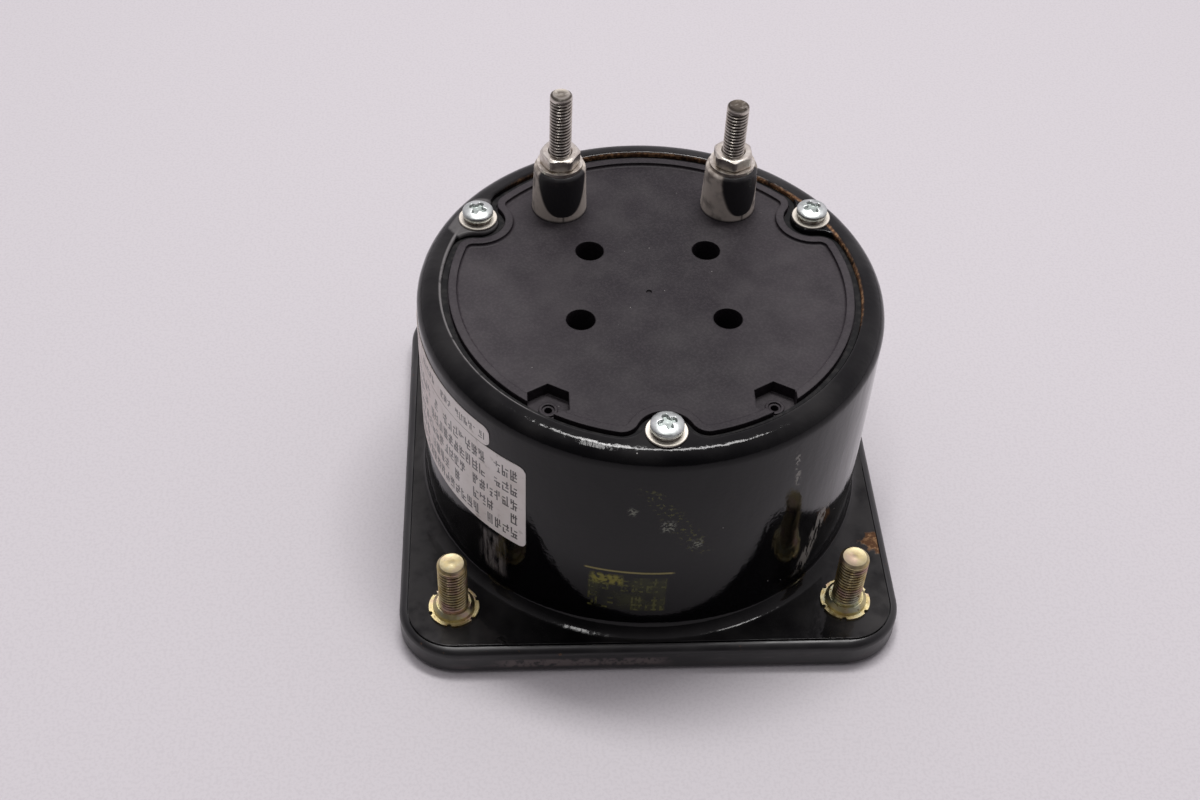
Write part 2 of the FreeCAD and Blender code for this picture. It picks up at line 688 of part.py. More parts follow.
def make_jewel_screws():
    front = new_body("front_jewel_screw")
    prism(front, "screw", circles([("0", "0")], "1.44"), "4.9", "4.6")
    prism(front, "slot", block("-2", "-0.25", "2", "0.25"), "4", "1.7", cut=True)
    prism(front, "cup", circles([("0", "0")], "0.36"), "8.7", "2", cut=True)
    rear = new_body("rear_jewel_screw")
    prism(rear, "screw", circles([("0", "0")], "1.44"), "pole_top+1.4", "6.2")
    prism(rear, "slot", block("-2", "-0.25", "2", "0.25"), "pole_top+6.6", "3", cut=True)
    prism(rear, "cup", circles([("0", "0")], "0.36"), "pole_top", "2.2", cut=True)


def make_magnet_system():
    core = new_body("core_ring")
    prism(core, "ring", lambda s: annular_sector(s, "core_inner", "core_outer", 270, 156.5),
          "core_under", "core_top-core_under")
    keeper = new_body("core_keeper")
    prism(keeper, "sector", lambda s: annular_sector(s, "core_inner", "core_outer", 90, 23.2),
          "core_under", "core_top-core_under")
    prism(keeper, "face", block("-5.2", "core_outer-1.6", "5.2", "17"), "core_under", "core_top-core_under")
    magnet = new_body("permanent_magnet")
    prism(magnet, "bar", block("-8", "17", "8", "27.5"), "core_under-1", "core_top-core_under+2")
    soften(magnet, "corners", "0.6", lambda e: e.BoundBox.ZLength > 5, chamfer=True)

    pole = new_body("outer_pole_ring")
    prism(pole, "ring", circles([("0", "0")], "pole_outer"), "pole_under", "pole_top-pole_under")
    prism(pole, "magnet_yoke", block("-13", "10", "13", "32"), "pole_under", "pole_top-pole_under")
    soften(pole, "yoke_corners", "1.5", upright_edge(12))
    prism(pole, "bore", circles([("0", "0")], "pole_inner"), "0", "60", cut=True)
    prism(pole, "magnet_seat", block("-9.4", "0", "9.4", "27.5"), "0", "60", cut=True)
    prism(pole, "bridge_threads", circles([("-22.7", "0"), ("22.7", "0")], "1.25"),
          "pole_top-5", "10", cut=True)


def coil_block(near, far, half):
    """A plan outline along the pointer's direction, between two radii."""
    corners = [pointer_place(near, "-" + half), pointer_place(far, "-" + half),
               pointer_place(far, half), pointer_place(near, half)]
    return lambda outline: polygon(outline, corners)


def make_moving_coil():
    winding = new_body("coil_winding")
    prism(winding, "turns", coil_block("1.8", "19.2", "1.2"),
          "core_under-3.7", "core_top-core_under+7.4")
    soften(winding, "outer_bends", "1.0", lambda e: e.BoundBox.ZLength < 1e-3 and e.Length < 2.5)
    prism(winding, "window", coil_block("4.4", "16.8", "3"),
          "core_under-1.3", "core_top-core_under+2.6", cut=True)
    former = new_body("coil_former")
    prism(former, "frame", coil_block("4.45", "16.75", "1.7"),
          "core_under-1.25", "core_top-core_under+2.5")
    prism(former, "window", coil_block("4.95", "16.25", "3"),
          "core_under-0.75", "core_top-core_under+1.5", cut=True)

    hubs = new_body("coil_hubs")
    for name, bottom in (("front", "core_under-4.9"), ("rear", "core_top+3.7")):
        prism(hubs, name + "_hub", circles([("0", "0")], "3.0"), bottom, "1.2")
    prism(hubs, "bore", circles([("0", "0")], "0.83"), "0", "60", cut=True)

    staff = new_body("pivot_staff")
    turned(staff, "staff", [
        ("0", "8.9"), ("0.15", "8.9"), ("0.3", "9.1"), ("0.3", "9.62"), ("1.15", "9.62"), ("1.15", "10.4"),
        ("0.8", "10.4"), ("0.8", "pole_top-0.3"), ("1.15", "pole_top-0.3"), ("1.15", "pole_top+0.6"),
        ("0.8", "pole_top+0.6"), ("0.8", "pole_top+1.2"), ("0.3", "pole_top+1.2"), ("0.3", "pole_top+1.8"),
        ("0.15", "pole_top+2.0"), ("0", "pole_top+2.0")])


# ---------------------------------------------------------------- electrical parts inside
def rod(name, radius, length, left, y, z):
    """A round rod along X that starts at left."""
    item = doc.addObject("Part::Cylinder", name)
    bind(item, "Radius", radius)
    bind(item, "Height", length)
    item.Placement.Rotation = FreeCAD.Rotation(V(0, 1, 0), 90)
    bind(item, "Placement.Base.x", left)
    bind(item, "Placement.Base.y", y)
    bind(item, "Placement.Base.z", z)
    return item


def make_resistor():
    parts = [rod("resistor_bobbin", "2.6", "15", "-7.5", "-30", "base_under-6"),
             rod("resistor_cap_a", "3.2", "2", "-8.5", "-30", "base_under-6"),
             rod("resistor_cap_b", "3.2", "2", "6.5", "-30", "base_under-6"),
             rod("resistor_leads", "0.4", "23.4", "-11.7", "-30", "base_under-6")]
    resistor = doc.addObject("Part::MultiFuse", "series_resistor")
    resistor.Shapes = parts
    resistor.Label = "series_resistor"
    nodes.append(resistor)

    tags = new_body("resistor_tags")
    prism(tags, "strips", lambda s: [rectangle(s, "11.8", "-31.5", "12.4", "-28.5"),
                                     rectangle(s, "-12.4", "-31.5", "-11.8", "-28.5")],
          "base_under-7.5", "7.5")


def make_lead(name, stops):
    """An insulated lead through points in space: no flat sketch can hold such a curve."""
    curve = Part.BSplineCurve()
    points = [V(*(size_of(place) for place in stop)) for stop in stops]
    curve.interpolate(points)
    path = Part.Wire(curve.toShape())
    ring = Part.Wire(Part.makeCircle(0.6, points[0], curve.tangent(curve.FirstParameter)[0]))
    lead = doc.addObject("Part::Feature", name)
    lead.Label = name
    lead.Shape = path.makePipeShell([ring], True, True)
    nodes.append(lead)


def make_leads():
    make_lead("positive_lead", [
        ("post_spread", "post_back-9", "base_under-1.4"), ("22.5", "7", "base_under-3.7"),
        ("23", "-6", "base_under-4.7"), ("20", "-20", "base_under-5"),
        ("13.4", "-29.5", "base_under-4.5")])
    make_lead("negative_lead", [
        ("-post_spread", "post_back-9", "base_under-1.4"), ("-19.5", "9", "base_under-4.2"),
        ("-17.5", "3", "pole_top+6.8"), ("-14", "0.5", "pole_top+5.8")])
    make_lead("resistor_link_wire", [
        ("-13.4", "-30.5", "base_under-4.5"), ("-17", "-33", "42"), ("-18", "-33.5", "30"),
        ("-14", "-31", "21"), ("-13", "-29.8", "17.5")])


# ---------------------------------------------------------------- build and write
make_bezel()
make_window()
make_case()
make_mounting_studs()
make_base()
make_case_screws()
make_terminals()
make_label("rating_label", 205.4, 31.4, "26.4", "51.6")
make_label("date_label", 203.1, 23.1, "51.8", "57.2")
make_dial()
make_pointer()
make_hairspring("front_hairspring", "9.75")
make_hairspring("rear_hairspring", "pole_top-0.15")
make_zero_adjuster()
make_movement_frame()
make_jewel_screws()
make_magnet_system()
make_moving_coil()
make_resistor()
make_leads()
doc.recompute()

for item in doc.Objects:
    if "Invalid" in item.State or "Error" in item.State:
        raise RuntimeError(item.Label + " is in error")
for node in nodes:
    shape = node.Shape
    if shape.isNull() or not shape.isValid() or not shape.Solids:
        raise RuntimeError(node.Label + " has no valid solid")
    shape.exportStep("parts/%s.step" % node.Label)
    print(node.Label, len(shape.Solids), round(shape.Volume, 1))
print(len(nodes), "nodes")
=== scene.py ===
import json
import math

import bmesh
import bpy
import numpy as np
from mathutils import Matrix, Vector, noise


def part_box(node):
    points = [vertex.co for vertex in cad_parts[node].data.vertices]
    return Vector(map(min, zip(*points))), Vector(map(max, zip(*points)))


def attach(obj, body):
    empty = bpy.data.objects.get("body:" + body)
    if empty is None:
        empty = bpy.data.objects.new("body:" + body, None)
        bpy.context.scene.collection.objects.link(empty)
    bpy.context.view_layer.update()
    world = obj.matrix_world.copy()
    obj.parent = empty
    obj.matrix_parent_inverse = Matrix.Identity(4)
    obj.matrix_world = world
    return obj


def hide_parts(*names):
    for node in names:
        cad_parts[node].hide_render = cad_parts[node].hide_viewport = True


# A surface-mounted panel meter lying on its face, seen from the rear. The frame is the CAD frame:
# the bezel's front face is at z = 0, the back of the case is up and the terminals stand on the +Y side.
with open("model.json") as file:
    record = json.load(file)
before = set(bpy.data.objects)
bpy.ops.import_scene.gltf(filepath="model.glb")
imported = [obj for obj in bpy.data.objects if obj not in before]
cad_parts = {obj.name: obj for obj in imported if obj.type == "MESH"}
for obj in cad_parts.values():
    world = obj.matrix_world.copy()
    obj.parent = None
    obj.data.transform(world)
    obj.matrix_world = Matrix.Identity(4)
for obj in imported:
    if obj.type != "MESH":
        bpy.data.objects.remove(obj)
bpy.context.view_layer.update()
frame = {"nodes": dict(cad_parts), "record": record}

MM = 0.001
FULL_TURN = 2 * math.pi


# ---------------------------------------------------------------- sizes read from the frame
def top_of(node):
    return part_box(node)[1].z


def bottom_of(node):
    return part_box(node)[0].z


BEZEL_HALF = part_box("front_bezel")[1].x
BARREL_RADIUS = 49.8 * MM
STEEL = 1.2 * MM
FLANGE_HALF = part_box("case_shell")[1].x
FLANGE_CORNER = 10.0 * MM
FLANGE_UNDER = bottom_of("case_shell")
FLANGE_TOP = FLANGE_UNDER + STEEL
BACK_TOP = top_of("case_shell")
OPENING_RADIUS = 44.5 * MM
RIM_LEAN = math.radians(9)
SHOULDER_ROUND = 3.6 * MM
FOOT_ROUND = 3.2 * MM
SCREW_CIRCLE = 42.55 * MM
LOBE_RADIUS = 4.5 * MM
LOBE_FILLET = 5.0 * MM
SCREW_DIRECTIONS = [math.radians(d) for d in (30, 150, 270)]

MOUNT_HALF_PITCH = 42.86 * MM
MOUNT_PLACES = [(sx * MOUNT_HALF_PITCH, sy * MOUNT_HALF_PITCH) for sx in (-1, 1) for sy in (-1, 1)]
MOUNT_RADIUS = 3.175 * MM
MOUNT_PITCH = 25.4 * MM / 28
MOUNT_SHOULDER_RADIUS = 3.4 * MM
MOUNT_SHOULDER_TOP = FLANGE_TOP + 2.45 * MM

POST_SPREAD = 18.85 * MM
POST_BACK = 27.0 * MM
POST_RADIUS = 2.41 * MM
POST_PITCH = 25.4 * MM / 32
POST_HEAD_FLATS = 9.5 * MM
POST_HEAD_HEIGHT = 4.0 * MM
NUT_FLATS = 7.94 * MM

DIAL_FACE = bottom_of("dial_plate")
DIAL_SWEEP = 250.0
DIAL_ZERO = -125.0


# ---------------------------------------------------------------- mesh tools
class Shape:
    """The vertices and faces of one piece, gathered solid by solid."""

    def __init__(self):
        self.vertices = []
        self.faces = []

    def loft(self, rings, loop=False):
        """Joins rings of equally many points; the ends are joined to each other in a loop, or else capped."""
        start = len(self.vertices)
        count = len(rings[0])
        for ring in rings:
            self.vertices.extend(tuple(point) for point in ring)
        spans = len(rings) if loop else len(rings) - 1
        for row in range(spans):
            low = start + row * count
            high = start + (row + 1) % len(rings) * count
            for column in range(count):
                following = (column + 1) % count
                self.faces.append((low + column, low + following, high + following, high + column))
        if not loop:
            self.faces.append(tuple(start + column for column in reversed(range(count))))
            last = start + (len(rings) - 1) * count
            self.faces.append(tuple(last + column for column in range(count)))

    def piece(self, name, slot, body="meter_case", replaces=(), sharp=35):
        """The finished object, smooth but for edges sharper than so many degrees."""
        mesh = bpy.data.meshes.new(name)
        mesh.from_pydata(self.vertices, [], self.faces)
        edit = bmesh.new()
        edit.from_mesh(mesh)
        bmesh.ops.recalc_face_normals(edit, faces=edit.faces)
        edit.to_mesh(mesh)
        edit.free()
        mesh.shade_smooth()
        mesh.set_sharp_from_angle(angle=math.radians(sharp))
        return settle(link(bpy.data.objects.new(name, mesh)), slot, body, replaces)


def link(item):
    bpy.context.scene.collection.objects.link(item)
    return item


def settle(piece, slot, body="meter_case", replaces=()):
    """Gives a piece its material, its body and the CAD nodes that it stands for."""
    piece.data.materials.clear()
    piece.data.materials.append(LOOKS[slot])
    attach(piece, body)
    if replaces:
        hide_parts(*replaces)
    return piece


def turned_ring(radii, height, angles, centre=(0.0, 0.0)):
    """One ring of points at the angles; radii and height are one number or one for each angle."""
    radii = np.broadcast_to(radii, angles.shape)
    heights = np.broadcast_to(height, angles.shape)
    across = centre[0] + radii * np.cos(angles)
    along = centre[1] + radii * np.sin(angles)
    return np.stack([across, along, heights], axis=1)


def even_angles(count, start=0.0):
    return start + np.arange(count) * FULL_TURN / count


def arc(centre, radius, first, last, steps):
    """Points (r, z) of an arc between two directions given in degrees."""
    turns = np.radians(np.linspace(first, last, steps + 1))
    return [(centre[0] + radius * math.cos(t), centre[1] + radius * math.sin(t)) for t in turns]


def lathe(shape, profile, centre=(0.0, 0.0), columns=64, loop=False):
    """Turns a profile of (radius, height) about a vertical axis. It runs up the outside."""
    angles = even_angles(columns)
    shape.loft([turned_ring(r, z, angles, centre) for r, z in profile], loop)


def smoothstep(value, low, high):
    share = np.clip((value - low) / (high - low), 0.0, 1.0)
    return share * share * (3 - 2 * share)


# ---------------------------------------------------------------- material tools
class Look:
    """One procedural material, built up layer over layer, with lengths in millimetres."""

    def __init__(self, name, colour, roughness, metallic=0.0):
        self.material = bpy.data.materials.new(name)
        self.material.use_nodes = True
        self.tree = self.material.node_tree
        self.shader = self.tree.nodes["Principled BSDF"]
        self.shader.inputs["Metallic"].default_value = metallic
        self.colour = (*colour, 1.0)
        self.roughness = roughness
        self.height = None
        self.edge_round = None
        place = self.node("ShaderNodeTexCoord").outputs["Object"]
        scaled = self.node("ShaderNodeVectorMath", operation="SCALE")
        self.feed(scaled.inputs[0], place)
        scaled.inputs["Scale"].default_value = 1 / MM
        self.place = scaled.outputs[0]
        self.parts = None

    def node(self, kind, **settings):
        made = self.tree.nodes.new(kind)
        for key, value in settings.items():
            setattr(made, key, value)
        return made

    def feed(self, target, source):
        """Sets a socket to a number or colour, or links another socket to it."""
        if isinstance(source, bpy.types.NodeSocket):
            self.tree.links.new(source, target)
        else:
            target.default_value = source

    def math(self, operation, first, second=0.0, clamp=False):
        made = self.node("ShaderNodeMath", operation=operation, use_clamp=clamp)
        self.feed(made.inputs[0], first)
        self.feed(made.inputs[1], second)
        return made.outputs[0]

    def plus(self, first, second):
        return self.math("ADD", first, second)

    def minus(self, first, second):
        return self.math("SUBTRACT", first, second)

    def times(self, first, second):
        return self.math("MULTIPLY", first, second)

    def absolute(self, value):
        return self.math("ABSOLUTE", value)

    def length(self, across, along):
        return self.math("SQRT", self.plus(self.times(across, across), self.times(along, along)))

    def axis(self, name):
        """The x, y or z of the point, in millimetres."""
        if self.parts is None:
            self.parts = self.node("ShaderNodeSeparateXYZ")
            self.feed(self.parts.inputs[0], self.place)
        return self.parts.outputs[name.upper()]

    def angle(self, x=0.0, y=0.0):
        """Degrees round a vertical axis at (x, y), from 0 to 360, counted from +X."""
        turn = self.math("ARCTAN2", self.minus(self.axis("y"), y), self.minus(self.axis("x"), x))
        degrees = self.times(turn, 180 / math.pi)
        return self.math("MODULO", self.plus(degrees, 360.0), 360.0)

    def radius(self, x=0.0, y=0.0):
        """Distance from a vertical axis at (x, y)."""
        return self.length(self.minus(self.axis("x"), x), self.minus(self.axis("y"), y))

    def from_posts(self, x, y):
        """Distance from the nearest of the upright axes at (x, y) and its mirror images."""
        across = self.minus(self.absolute(self.axis("x")), x)
        along = self.minus(self.absolute(self.axis("y")), y)
        return self.length(across, along)

    def noise(self, size, detail=3.0, stretch=(1, 1, 1)):
        """Soft noise from 0 to 1 with features of about that size, longer along an axis by its stretch."""
        mapping = self.node("ShaderNodeMapping")
        self.feed(mapping.inputs["Vector"], self.place)
        mapping.inputs["Scale"].default_value = [1 / (size * s) for s in stretch]
        made = self.node("ShaderNodeTexNoise")
        self.feed(made.inputs["Vector"], mapping.outputs[0])
        made.inputs["Scale"].default_value = 1.0
        made.inputs["Detail"].default_value = detail
        return made.outputs[0]

    def specks(self, spacing, size, share):
        """Round specks of that size; share is how many of the cells have one."""
        made = self.node("ShaderNodeTexVoronoi")
        self.feed(made.inputs["Vector"], self.place)
        made.inputs["Scale"].default_value = 1 / spacing
        near = self.window(made.outputs["Distance"], size / spacing, 0.5 * size / spacing)
        chosen = self.node("ShaderNodeSeparateColor")
        self.feed(chosen.inputs[0], made.outputs["Color"])
        return self.times(near, self.math("LESS_THAN", chosen.outputs[0], share))

    def window(self, value, low, high):
        """0 at low, 1 at high, smooth between them; low may be above high."""
        made = self.node("ShaderNodeMapRange", interpolation_type="SMOOTHSTEP")
        self.feed(made.inputs["Value"], value)
        made.inputs["From Min"].default_value = low
        made.inputs["From Max"].default_value = high
        return made.outputs[0]

    def patches(self, size, low, high, detail=4.0, stretch=(1, 1, 1)):
        """Cloudy patches: noise cut off between two levels."""
        return self.window(self.noise(size, detail, stretch), low, high)

    def between(self, value, low, high, edge):
        """1 inside a stretch of values, fading over edge at both ends."""
        rise = self.window(value, low - edge, low + edge)
        fall = self.window(value, high + edge, high - edge)
        return self.times(rise, fall)

    def both(self, *masks):
        """The masks, sockets or numbers, multiplied together."""
        result = masks[0]
        for mask in masks[1:]:
            result = self.times(result, mask)
        return result

    def either(self, first, second):
        return self.math("MAXIMUM", first, second)

    def facing_up(self, low=0.3, high=0.95):
        """1 where the surface faces up, where dust settles."""
        parts = self.node("ShaderNodeSeparateXYZ")
        self.feed(parts.inputs[0], self.node("ShaderNodeNewGeometry").outputs["Normal"])
        return self.window(parts.outputs["Z"], low, high)

    def tint(self, mask, colour):
        """Lays a colour over what is there, as far as the mask says."""
        mix = self.node("ShaderNodeMix", data_type="RGBA")
        self.feed(mix.inputs[0], mask)
        self.feed(mix.inputs[6], self.colour)
        self.feed(mix.inputs[7], (*colour, 1.0) if isinstance(colour, tuple) else colour)
        self.colour = mix.outputs[2]

    def roughen(self, mask, roughness):
        """Moves the roughness to another one, as far as the mask says."""
        mix = self.node("ShaderNodeMix", data_type="FLOAT")
        self.feed(mix.inputs[0], mask)
        self.feed(mix.inputs[2], self.roughness)
        self.feed(mix.inputs[3], roughness)
        self.roughness = mix.outputs[0]

    def layer(self, mask, colour, roughness):
        self.tint(mask, colour)
        self.roughen(mask, roughness)

    def raise_by(self, mask, depth):
        """Adds a relief of that depth, in millimetres, to the surface."""
        part = self.times(mask, depth)
        self.height = part if self.height is None else self.plus(self.height, part)

    def round_the_barrel(self, angle):
        """The same angle as a length along the barrel."""
        return self.times(angle, BARREL_RADIUS / MM * math.pi / 180)

    def random_at(self, across, along, layer):
        """A random number from 0 to 1 for each whole-numbered place."""
        spot = self.node("ShaderNodeCombineXYZ")
        self.feed(spot.inputs[0], across)
        self.feed(spot.inputs[1], along)
        spot.inputs[2].default_value = layer
        drawn = self.node("ShaderNodeTexWhiteNoise", noise_dimensions="3D")
        self.feed(drawn.inputs["Vector"], spot.outputs[0])
        return drawn.outputs["Value"]

    def strokes(self, along, across, letter, pitch, share, fill=0.70):
        """Rows of illegible print: short upright and level strokes, drawn at random for each letter."""
        column = self.math("DIVIDE", along, letter)
        row = self.math("DIVIDE", across, pitch)
        u = self.math("DIVIDE", self.math("FRACT", column), 0.78)
        v = self.math("DIVIDE", self.math("FRACT", row), fill)
        inside = self.both(self.math("LESS_THAN", u, 1.0), self.math("LESS_THAN", v, 1.0))
        first_column = self.math("FLOOR", column)
        first_row = self.math("FLOOR", row)

        def set_of_strokes(columns, rows, layer, thin_in, width):
            u_place = self.times(u, columns)
            v_place = self.times(v, rows)
            across_id = self.plus(self.times(first_column, columns), self.math("FLOOR", u_place))
            along_id = self.plus(self.times(first_row, rows), self.math("FLOOR", v_place))
            drawn = self.math("LESS_THAN", self.random_at(across_id, along_id, layer), share)
            thin = self.math("LESS_THAN", self.math("FRACT", u_place if thin_in == "u" else v_place), width)
            return self.both(drawn, thin)

        upright = set_of_strokes(3, 2, 1.5, "u", 0.60)
        level = set_of_strokes(2, 3, 7.5, "v", 0.38)
        written = self.math("LESS_THAN", self.random_at(first_column, first_row, 13.5), 0.84)
        return self.both(self.either(upright, level), inside, written)

    def slanted(self, angle, low, high, half_width, edge):
        """A band on the barrel from one (angle, height) up to another, half_width degrees to each side."""
        slope = (high[0] - low[0]) / (high[1] - low[1])
        middle = self.plus(self.times(self.minus(self.axis("z"), low[1]), slope), low[0])
        off = self.absolute(self.minus(angle, middle))
        on_band = self.window(off, half_width + edge, half_width - edge)
        return self.both(on_band, self.between(self.axis("z"), low[1], high[1], 1.2))

    def finish(self):
        self.feed(self.shader.inputs["Base Color"], self.colour)
        self.feed(self.shader.inputs["Roughness"], self.roughness)
        if self.height is not None:
            bump = self.node("ShaderNodeBump")
            if self.edge_round is not None:
                rounding = self.node("ShaderNodeBevel", samples=6)
                rounding.inputs["Radius"].default_value = self.edge_round * MM
                self.feed(bump.inputs["Normal"], rounding.outputs[0])
            bump.inputs["Distance"].default_value = MM
            self.feed(bump.inputs["Height"], self.height)
            self.feed(self.shader.inputs["Normal"], bump.outputs[0])
        return self.material


THREAD_DEPTH = 0.60
DUST = (0.30, 0.29, 0.28)
RUST = (0.115, 0.055, 0.026)


def dust(look, film, speck_share=0.10):
    """A thin uneven film of dust on what faces up, and a few light specks all over."""
    settled = look.both(look.facing_up(), look.patches(14.0, 0.30, 0.75), film)
    look.layer(settled, DUST, 0.7)
    look.layer(look.specks(3.1, 0.16, speck_share), (0.42, 0.41, 0.40), 0.8)


def case_enamel():
    look = Look("case_enamel", (0.0022, 0.0021, 0.0026), 0.06)
    look.shader.inputs["IOR"].default_value = 1.31
    look.roughen(look.patches(9.0, 0.35, 0.75), 0.11)
    angle = look.angle()
    height = look.axis("z")
    radius = look.radius()
    dust(look, 0.05)
    # a dull, dust-coloured layer on the flange beside the barrel, lightening it: a painted sheen
    beside = look.window(look.absolute(look.axis("x")), 36.0, 46.0)
    painted_sheen = look.both(beside, look.window(height, 9.0, 8.0), look.patches(5.0, 0.20, 0.60), 0.09)
    look.layer(painted_sheen, DUST, 0.5)
    stamp_on_barrel(look, angle, height)
    scuffs_on_barrel(look, angle, height)
    wear_on_rim(look, angle, height, radius)
    # rust that creeps out along the opening's edge, and a blot on the flange
    edge = look.both(look.between(radius, 44.1, 44.75, 0.3), look.window(height, 61.5, 62.0))
    near = look.either(look.between(angle, 345.0, 361.0, 6.0), look.between(angle, -1.0, 62.0, 8.0))
    far = look.both(look.between(angle, 60.0, 128.0, 8.0), 0.45)
    by_opening = look.both(edge, look.either(near, far), look.patches(4.0, 0.26, 0.50))
    from_blot = look.plus(look.radius(52.2, -26.5), look.times(look.noise(1.6, 5.0), 7.0))
    blot = look.both(look.window(from_blot, 6.6, 5.6), look.window(height, 9.0, 8.0))
    rusted = look.either(by_opening, blot)
    look.layer(rusted, RUST, 0.85)
    look.tint(look.both(rusted, look.patches(0.8, 0.48, 0.60)), (0.30, 0.17, 0.085))
    # the enamel's orange peel, coarse where it ran thick over the shoulder, and drips down the barrel
    look.raise_by(look.noise(0.9, 2.0), 0.018)
    look.raise_by(look.both(look.noise(1.1, 3.0), look.window(height, 60.6, 62.2)), 0.036)
    look.raise_by(look.noise(4.0, 2.0, stretch=(1, 1, 3)), 0.09)
    look.raise_by(look.both(rusted, look.noise(0.4)), 0.10)
    return look.finish()


def stamp_on_barrel(look, angle, height):
    """The inspector's ink stamp: a ruled line over two rows of marks, half rubbed off."""
    first, last = 252.3, 273.8
    round_the_barrel = look.round_the_barrel(angle)
    from_foot = look.minus(height, 14.7)
    marks = look.strokes(round_the_barrel, from_foot, 3.1, 6.3, 0.62, fill=0.78)
    across = look.between(angle, first + 1.0, last - 1.6, 0.4)
    field = look.both(across, look.between(height, 14.6, 26.0, 0.3))
    worn = look.patches(1.6, 0.36, 0.62, detail=5.0)
    look.layer(look.both(field, look.patches(5.0, 0.30, 0.62), 0.26), (0.085, 0.090, 0.018), 0.45)
    look.layer(look.both(marks, field, worn, 0.50), (0.13, 0.130, 0.030), 0.5)
    smudge = look.both(look.between(angle, 254.0, 261.5, 0.8), look.between(height, 23.2, 26.2, 0.7))
    look.layer(look.both(smudge, look.patches(1.2, 0.36, 0.56), 0.8), (0.27, 0.245, 0.040), 0.5)
    ruled = look.both(look.between(height, 27.35, 27.85, 0.18), look.between(angle, first, last, 0.5))
    look.layer(look.both(ruled, look.patches(2.5, 0.22, 0.45), 0.9), (0.31, 0.27, 0.10), 0.5)


def scuffs_on_barrel(look, angle, height):
    """A rubbed smear of ink, pale upright streaks low down the barrel that are a painted reflection of the
    bench, a pale scuff higher up and three chips of something white.
    """
    smear = look.slanted(angle, (280.4, 33.7), (266.3, 54.1), 2.6, 1.8)
    look.layer(look.both(smear, look.patches(0.9, 0.55, 0.66, detail=5.0), 0.6), (0.13, 0.13, 0.035), 0.55)
    for turn, level, size in ((271.3, 42.9, 1.5), (262.9, 47.2, 0.9), (278.5, 36.6, 1.2)):
        spot = look.both(
            look.between(angle, turn - size, turn + size, 0.8),
            look.between(height, level - size, level + size, 0.8),
            look.patches(0.6, 0.48, 0.58, detail=5.0))
        look.layer(spot, (0.21, 0.22, 0.18), 0.6)
    # painted reflection of the bench: pale upright streaks low on the left, below the label
    left = look.slanted(angle, (226.5, 12.5), (226.0, 24.5), 3.8, 1.6)
    reflected_streaks_left = look.patches(1.2, 0.34, 0.66, detail=5.0, stretch=(1, 1, 5))
    look.layer(look.both(left, reflected_streaks_left, 0.70), (0.225, 0.208, 0.198), 0.45)
    # painted reflection of the bench: pale upright streaks low on the right
    right = look.slanted(angle, (311.2, 11.8), (318.0, 28.6), 2.4, 0.8)
    reflected_streaks_right = look.patches(0.9, 0.40, 0.52, detail=5.0, stretch=(1, 1, 4))
    look.layer(look.both(right, reflected_streaks_right, 0.85), (0.27, 0.26, 0.235), 0.45)
    high = look.slanted(angle, (304.4, 45.5), (302.6, 55.6), 0.7, 0.5)
    look.layer(look.both(high, look.patches(1.1, 0.50, 0.58, detail=5.0), 0.7), (0.32, 0.31, 0.28), 0.5)


def wear_on_rim(look, angle, height, radius):
    """A painted highlight along the opening's edge on the left, and a grey film round the left case screw's
    ear.
    """
    on_rim = look.window(height, 62.0, 62.6)
    # painted highlight: a pale line round the left of the opening's rounded edge
    painted_edge_highlight = look.both(look.between(radius, 44.45, 44.95, 0.2), look.between(angle, 157.0, 236.0, 5.0), on_rim)
    look.layer(look.both(painted_edge_highlight, look.patches(3.0, 0.28, 0.50), 0.85), (0.23, 0.22, 0.22), 0.4)
    x = SCREW_CIRCLE * math.cos(SCREW_DIRECTIONS[1]) / MM
    y = SCREW_CIRCLE * math.sin(SCREW_DIRECTIONS[1]) / MM
    ear = look.both(look.window(look.radius(x, y), 7.4, 6.6), look.window(radius, 47.6, 46.8), on_rim)
    look.layer(look.both(ear, look.patches(4.0, 0.25, 0.45), 0.8), (0.115, 0.110, 0.110), 0.55)


def bezel_enamel():
    look = Look("bezel_enamel", (0.0085, 0.0082, 0.0092), 0.30)
    look.roughen(look.patches(7.0, 0.35, 0.70), 0.42)
    dust(look, 0.06, 0.12)
    height = look.axis("z")
    grimy = look.patches(3.0, 0.50, 0.72, detail=5.0, stretch=(3, 3, 0.6))
    look.layer(look.both(grimy, look.between(height, 0.8, 5.4, 0.8), 0.8), (0.065, 0.055, 0.055), 0.6)
    front_face = look.window(look.axis("y"), 0.6 - BEZEL_HALF / MM, 0.2 - BEZEL_HALF / MM)
    front = look.both(front_face, look.between(look.axis("x"), -33.0, 2.0, 3.0))
    rubbed = look.both(front, look.between(height, 2.2, 4.6, 0.5), look.patches(1.2, 0.34, 0.56, detail=5.0))
    look.layer(rubbed, (0.125, 0.103, 0.100), 0.6)
    chips = look.both(look.patches(1.4, 0.69, 0.73), look.between(height, 5.0, 7.5, 0.4))
    look.layer(look.both(chips, 0.7), RUST, 0.85)
    look.raise_by(look.noise(0.9, 2.0), 0.012)
    look.raise_by(look.noise(6.0, 1.0), 0.05)
    return look.finish()


def gasket_rubber():
    look = Look("gasket_rubber", (0.010, 0.010, 0.011), 0.85)
    look.shader.inputs["Specular IOR Level"].default_value = 0.25
    look.tint(look.patches(1.5, 0.45, 0.65), (0.022, 0.021, 0.021))
    look.raise_by(look.noise(0.5), 0.04)
    return look.finish()


def window_glass():
    look = Look("window_glass", (0.98, 1.0, 0.99), 0.015)
    look.shader.inputs["Transmission Weight"].default_value = 1.0
    look.shader.inputs["IOR"].default_value = 1.5
    look.roughen(look.patches(6.0, 0.55, 0.75), 0.05)
    look.raise_by(look.noise(30.0, 0.0), 0.02)
    return look.finish()


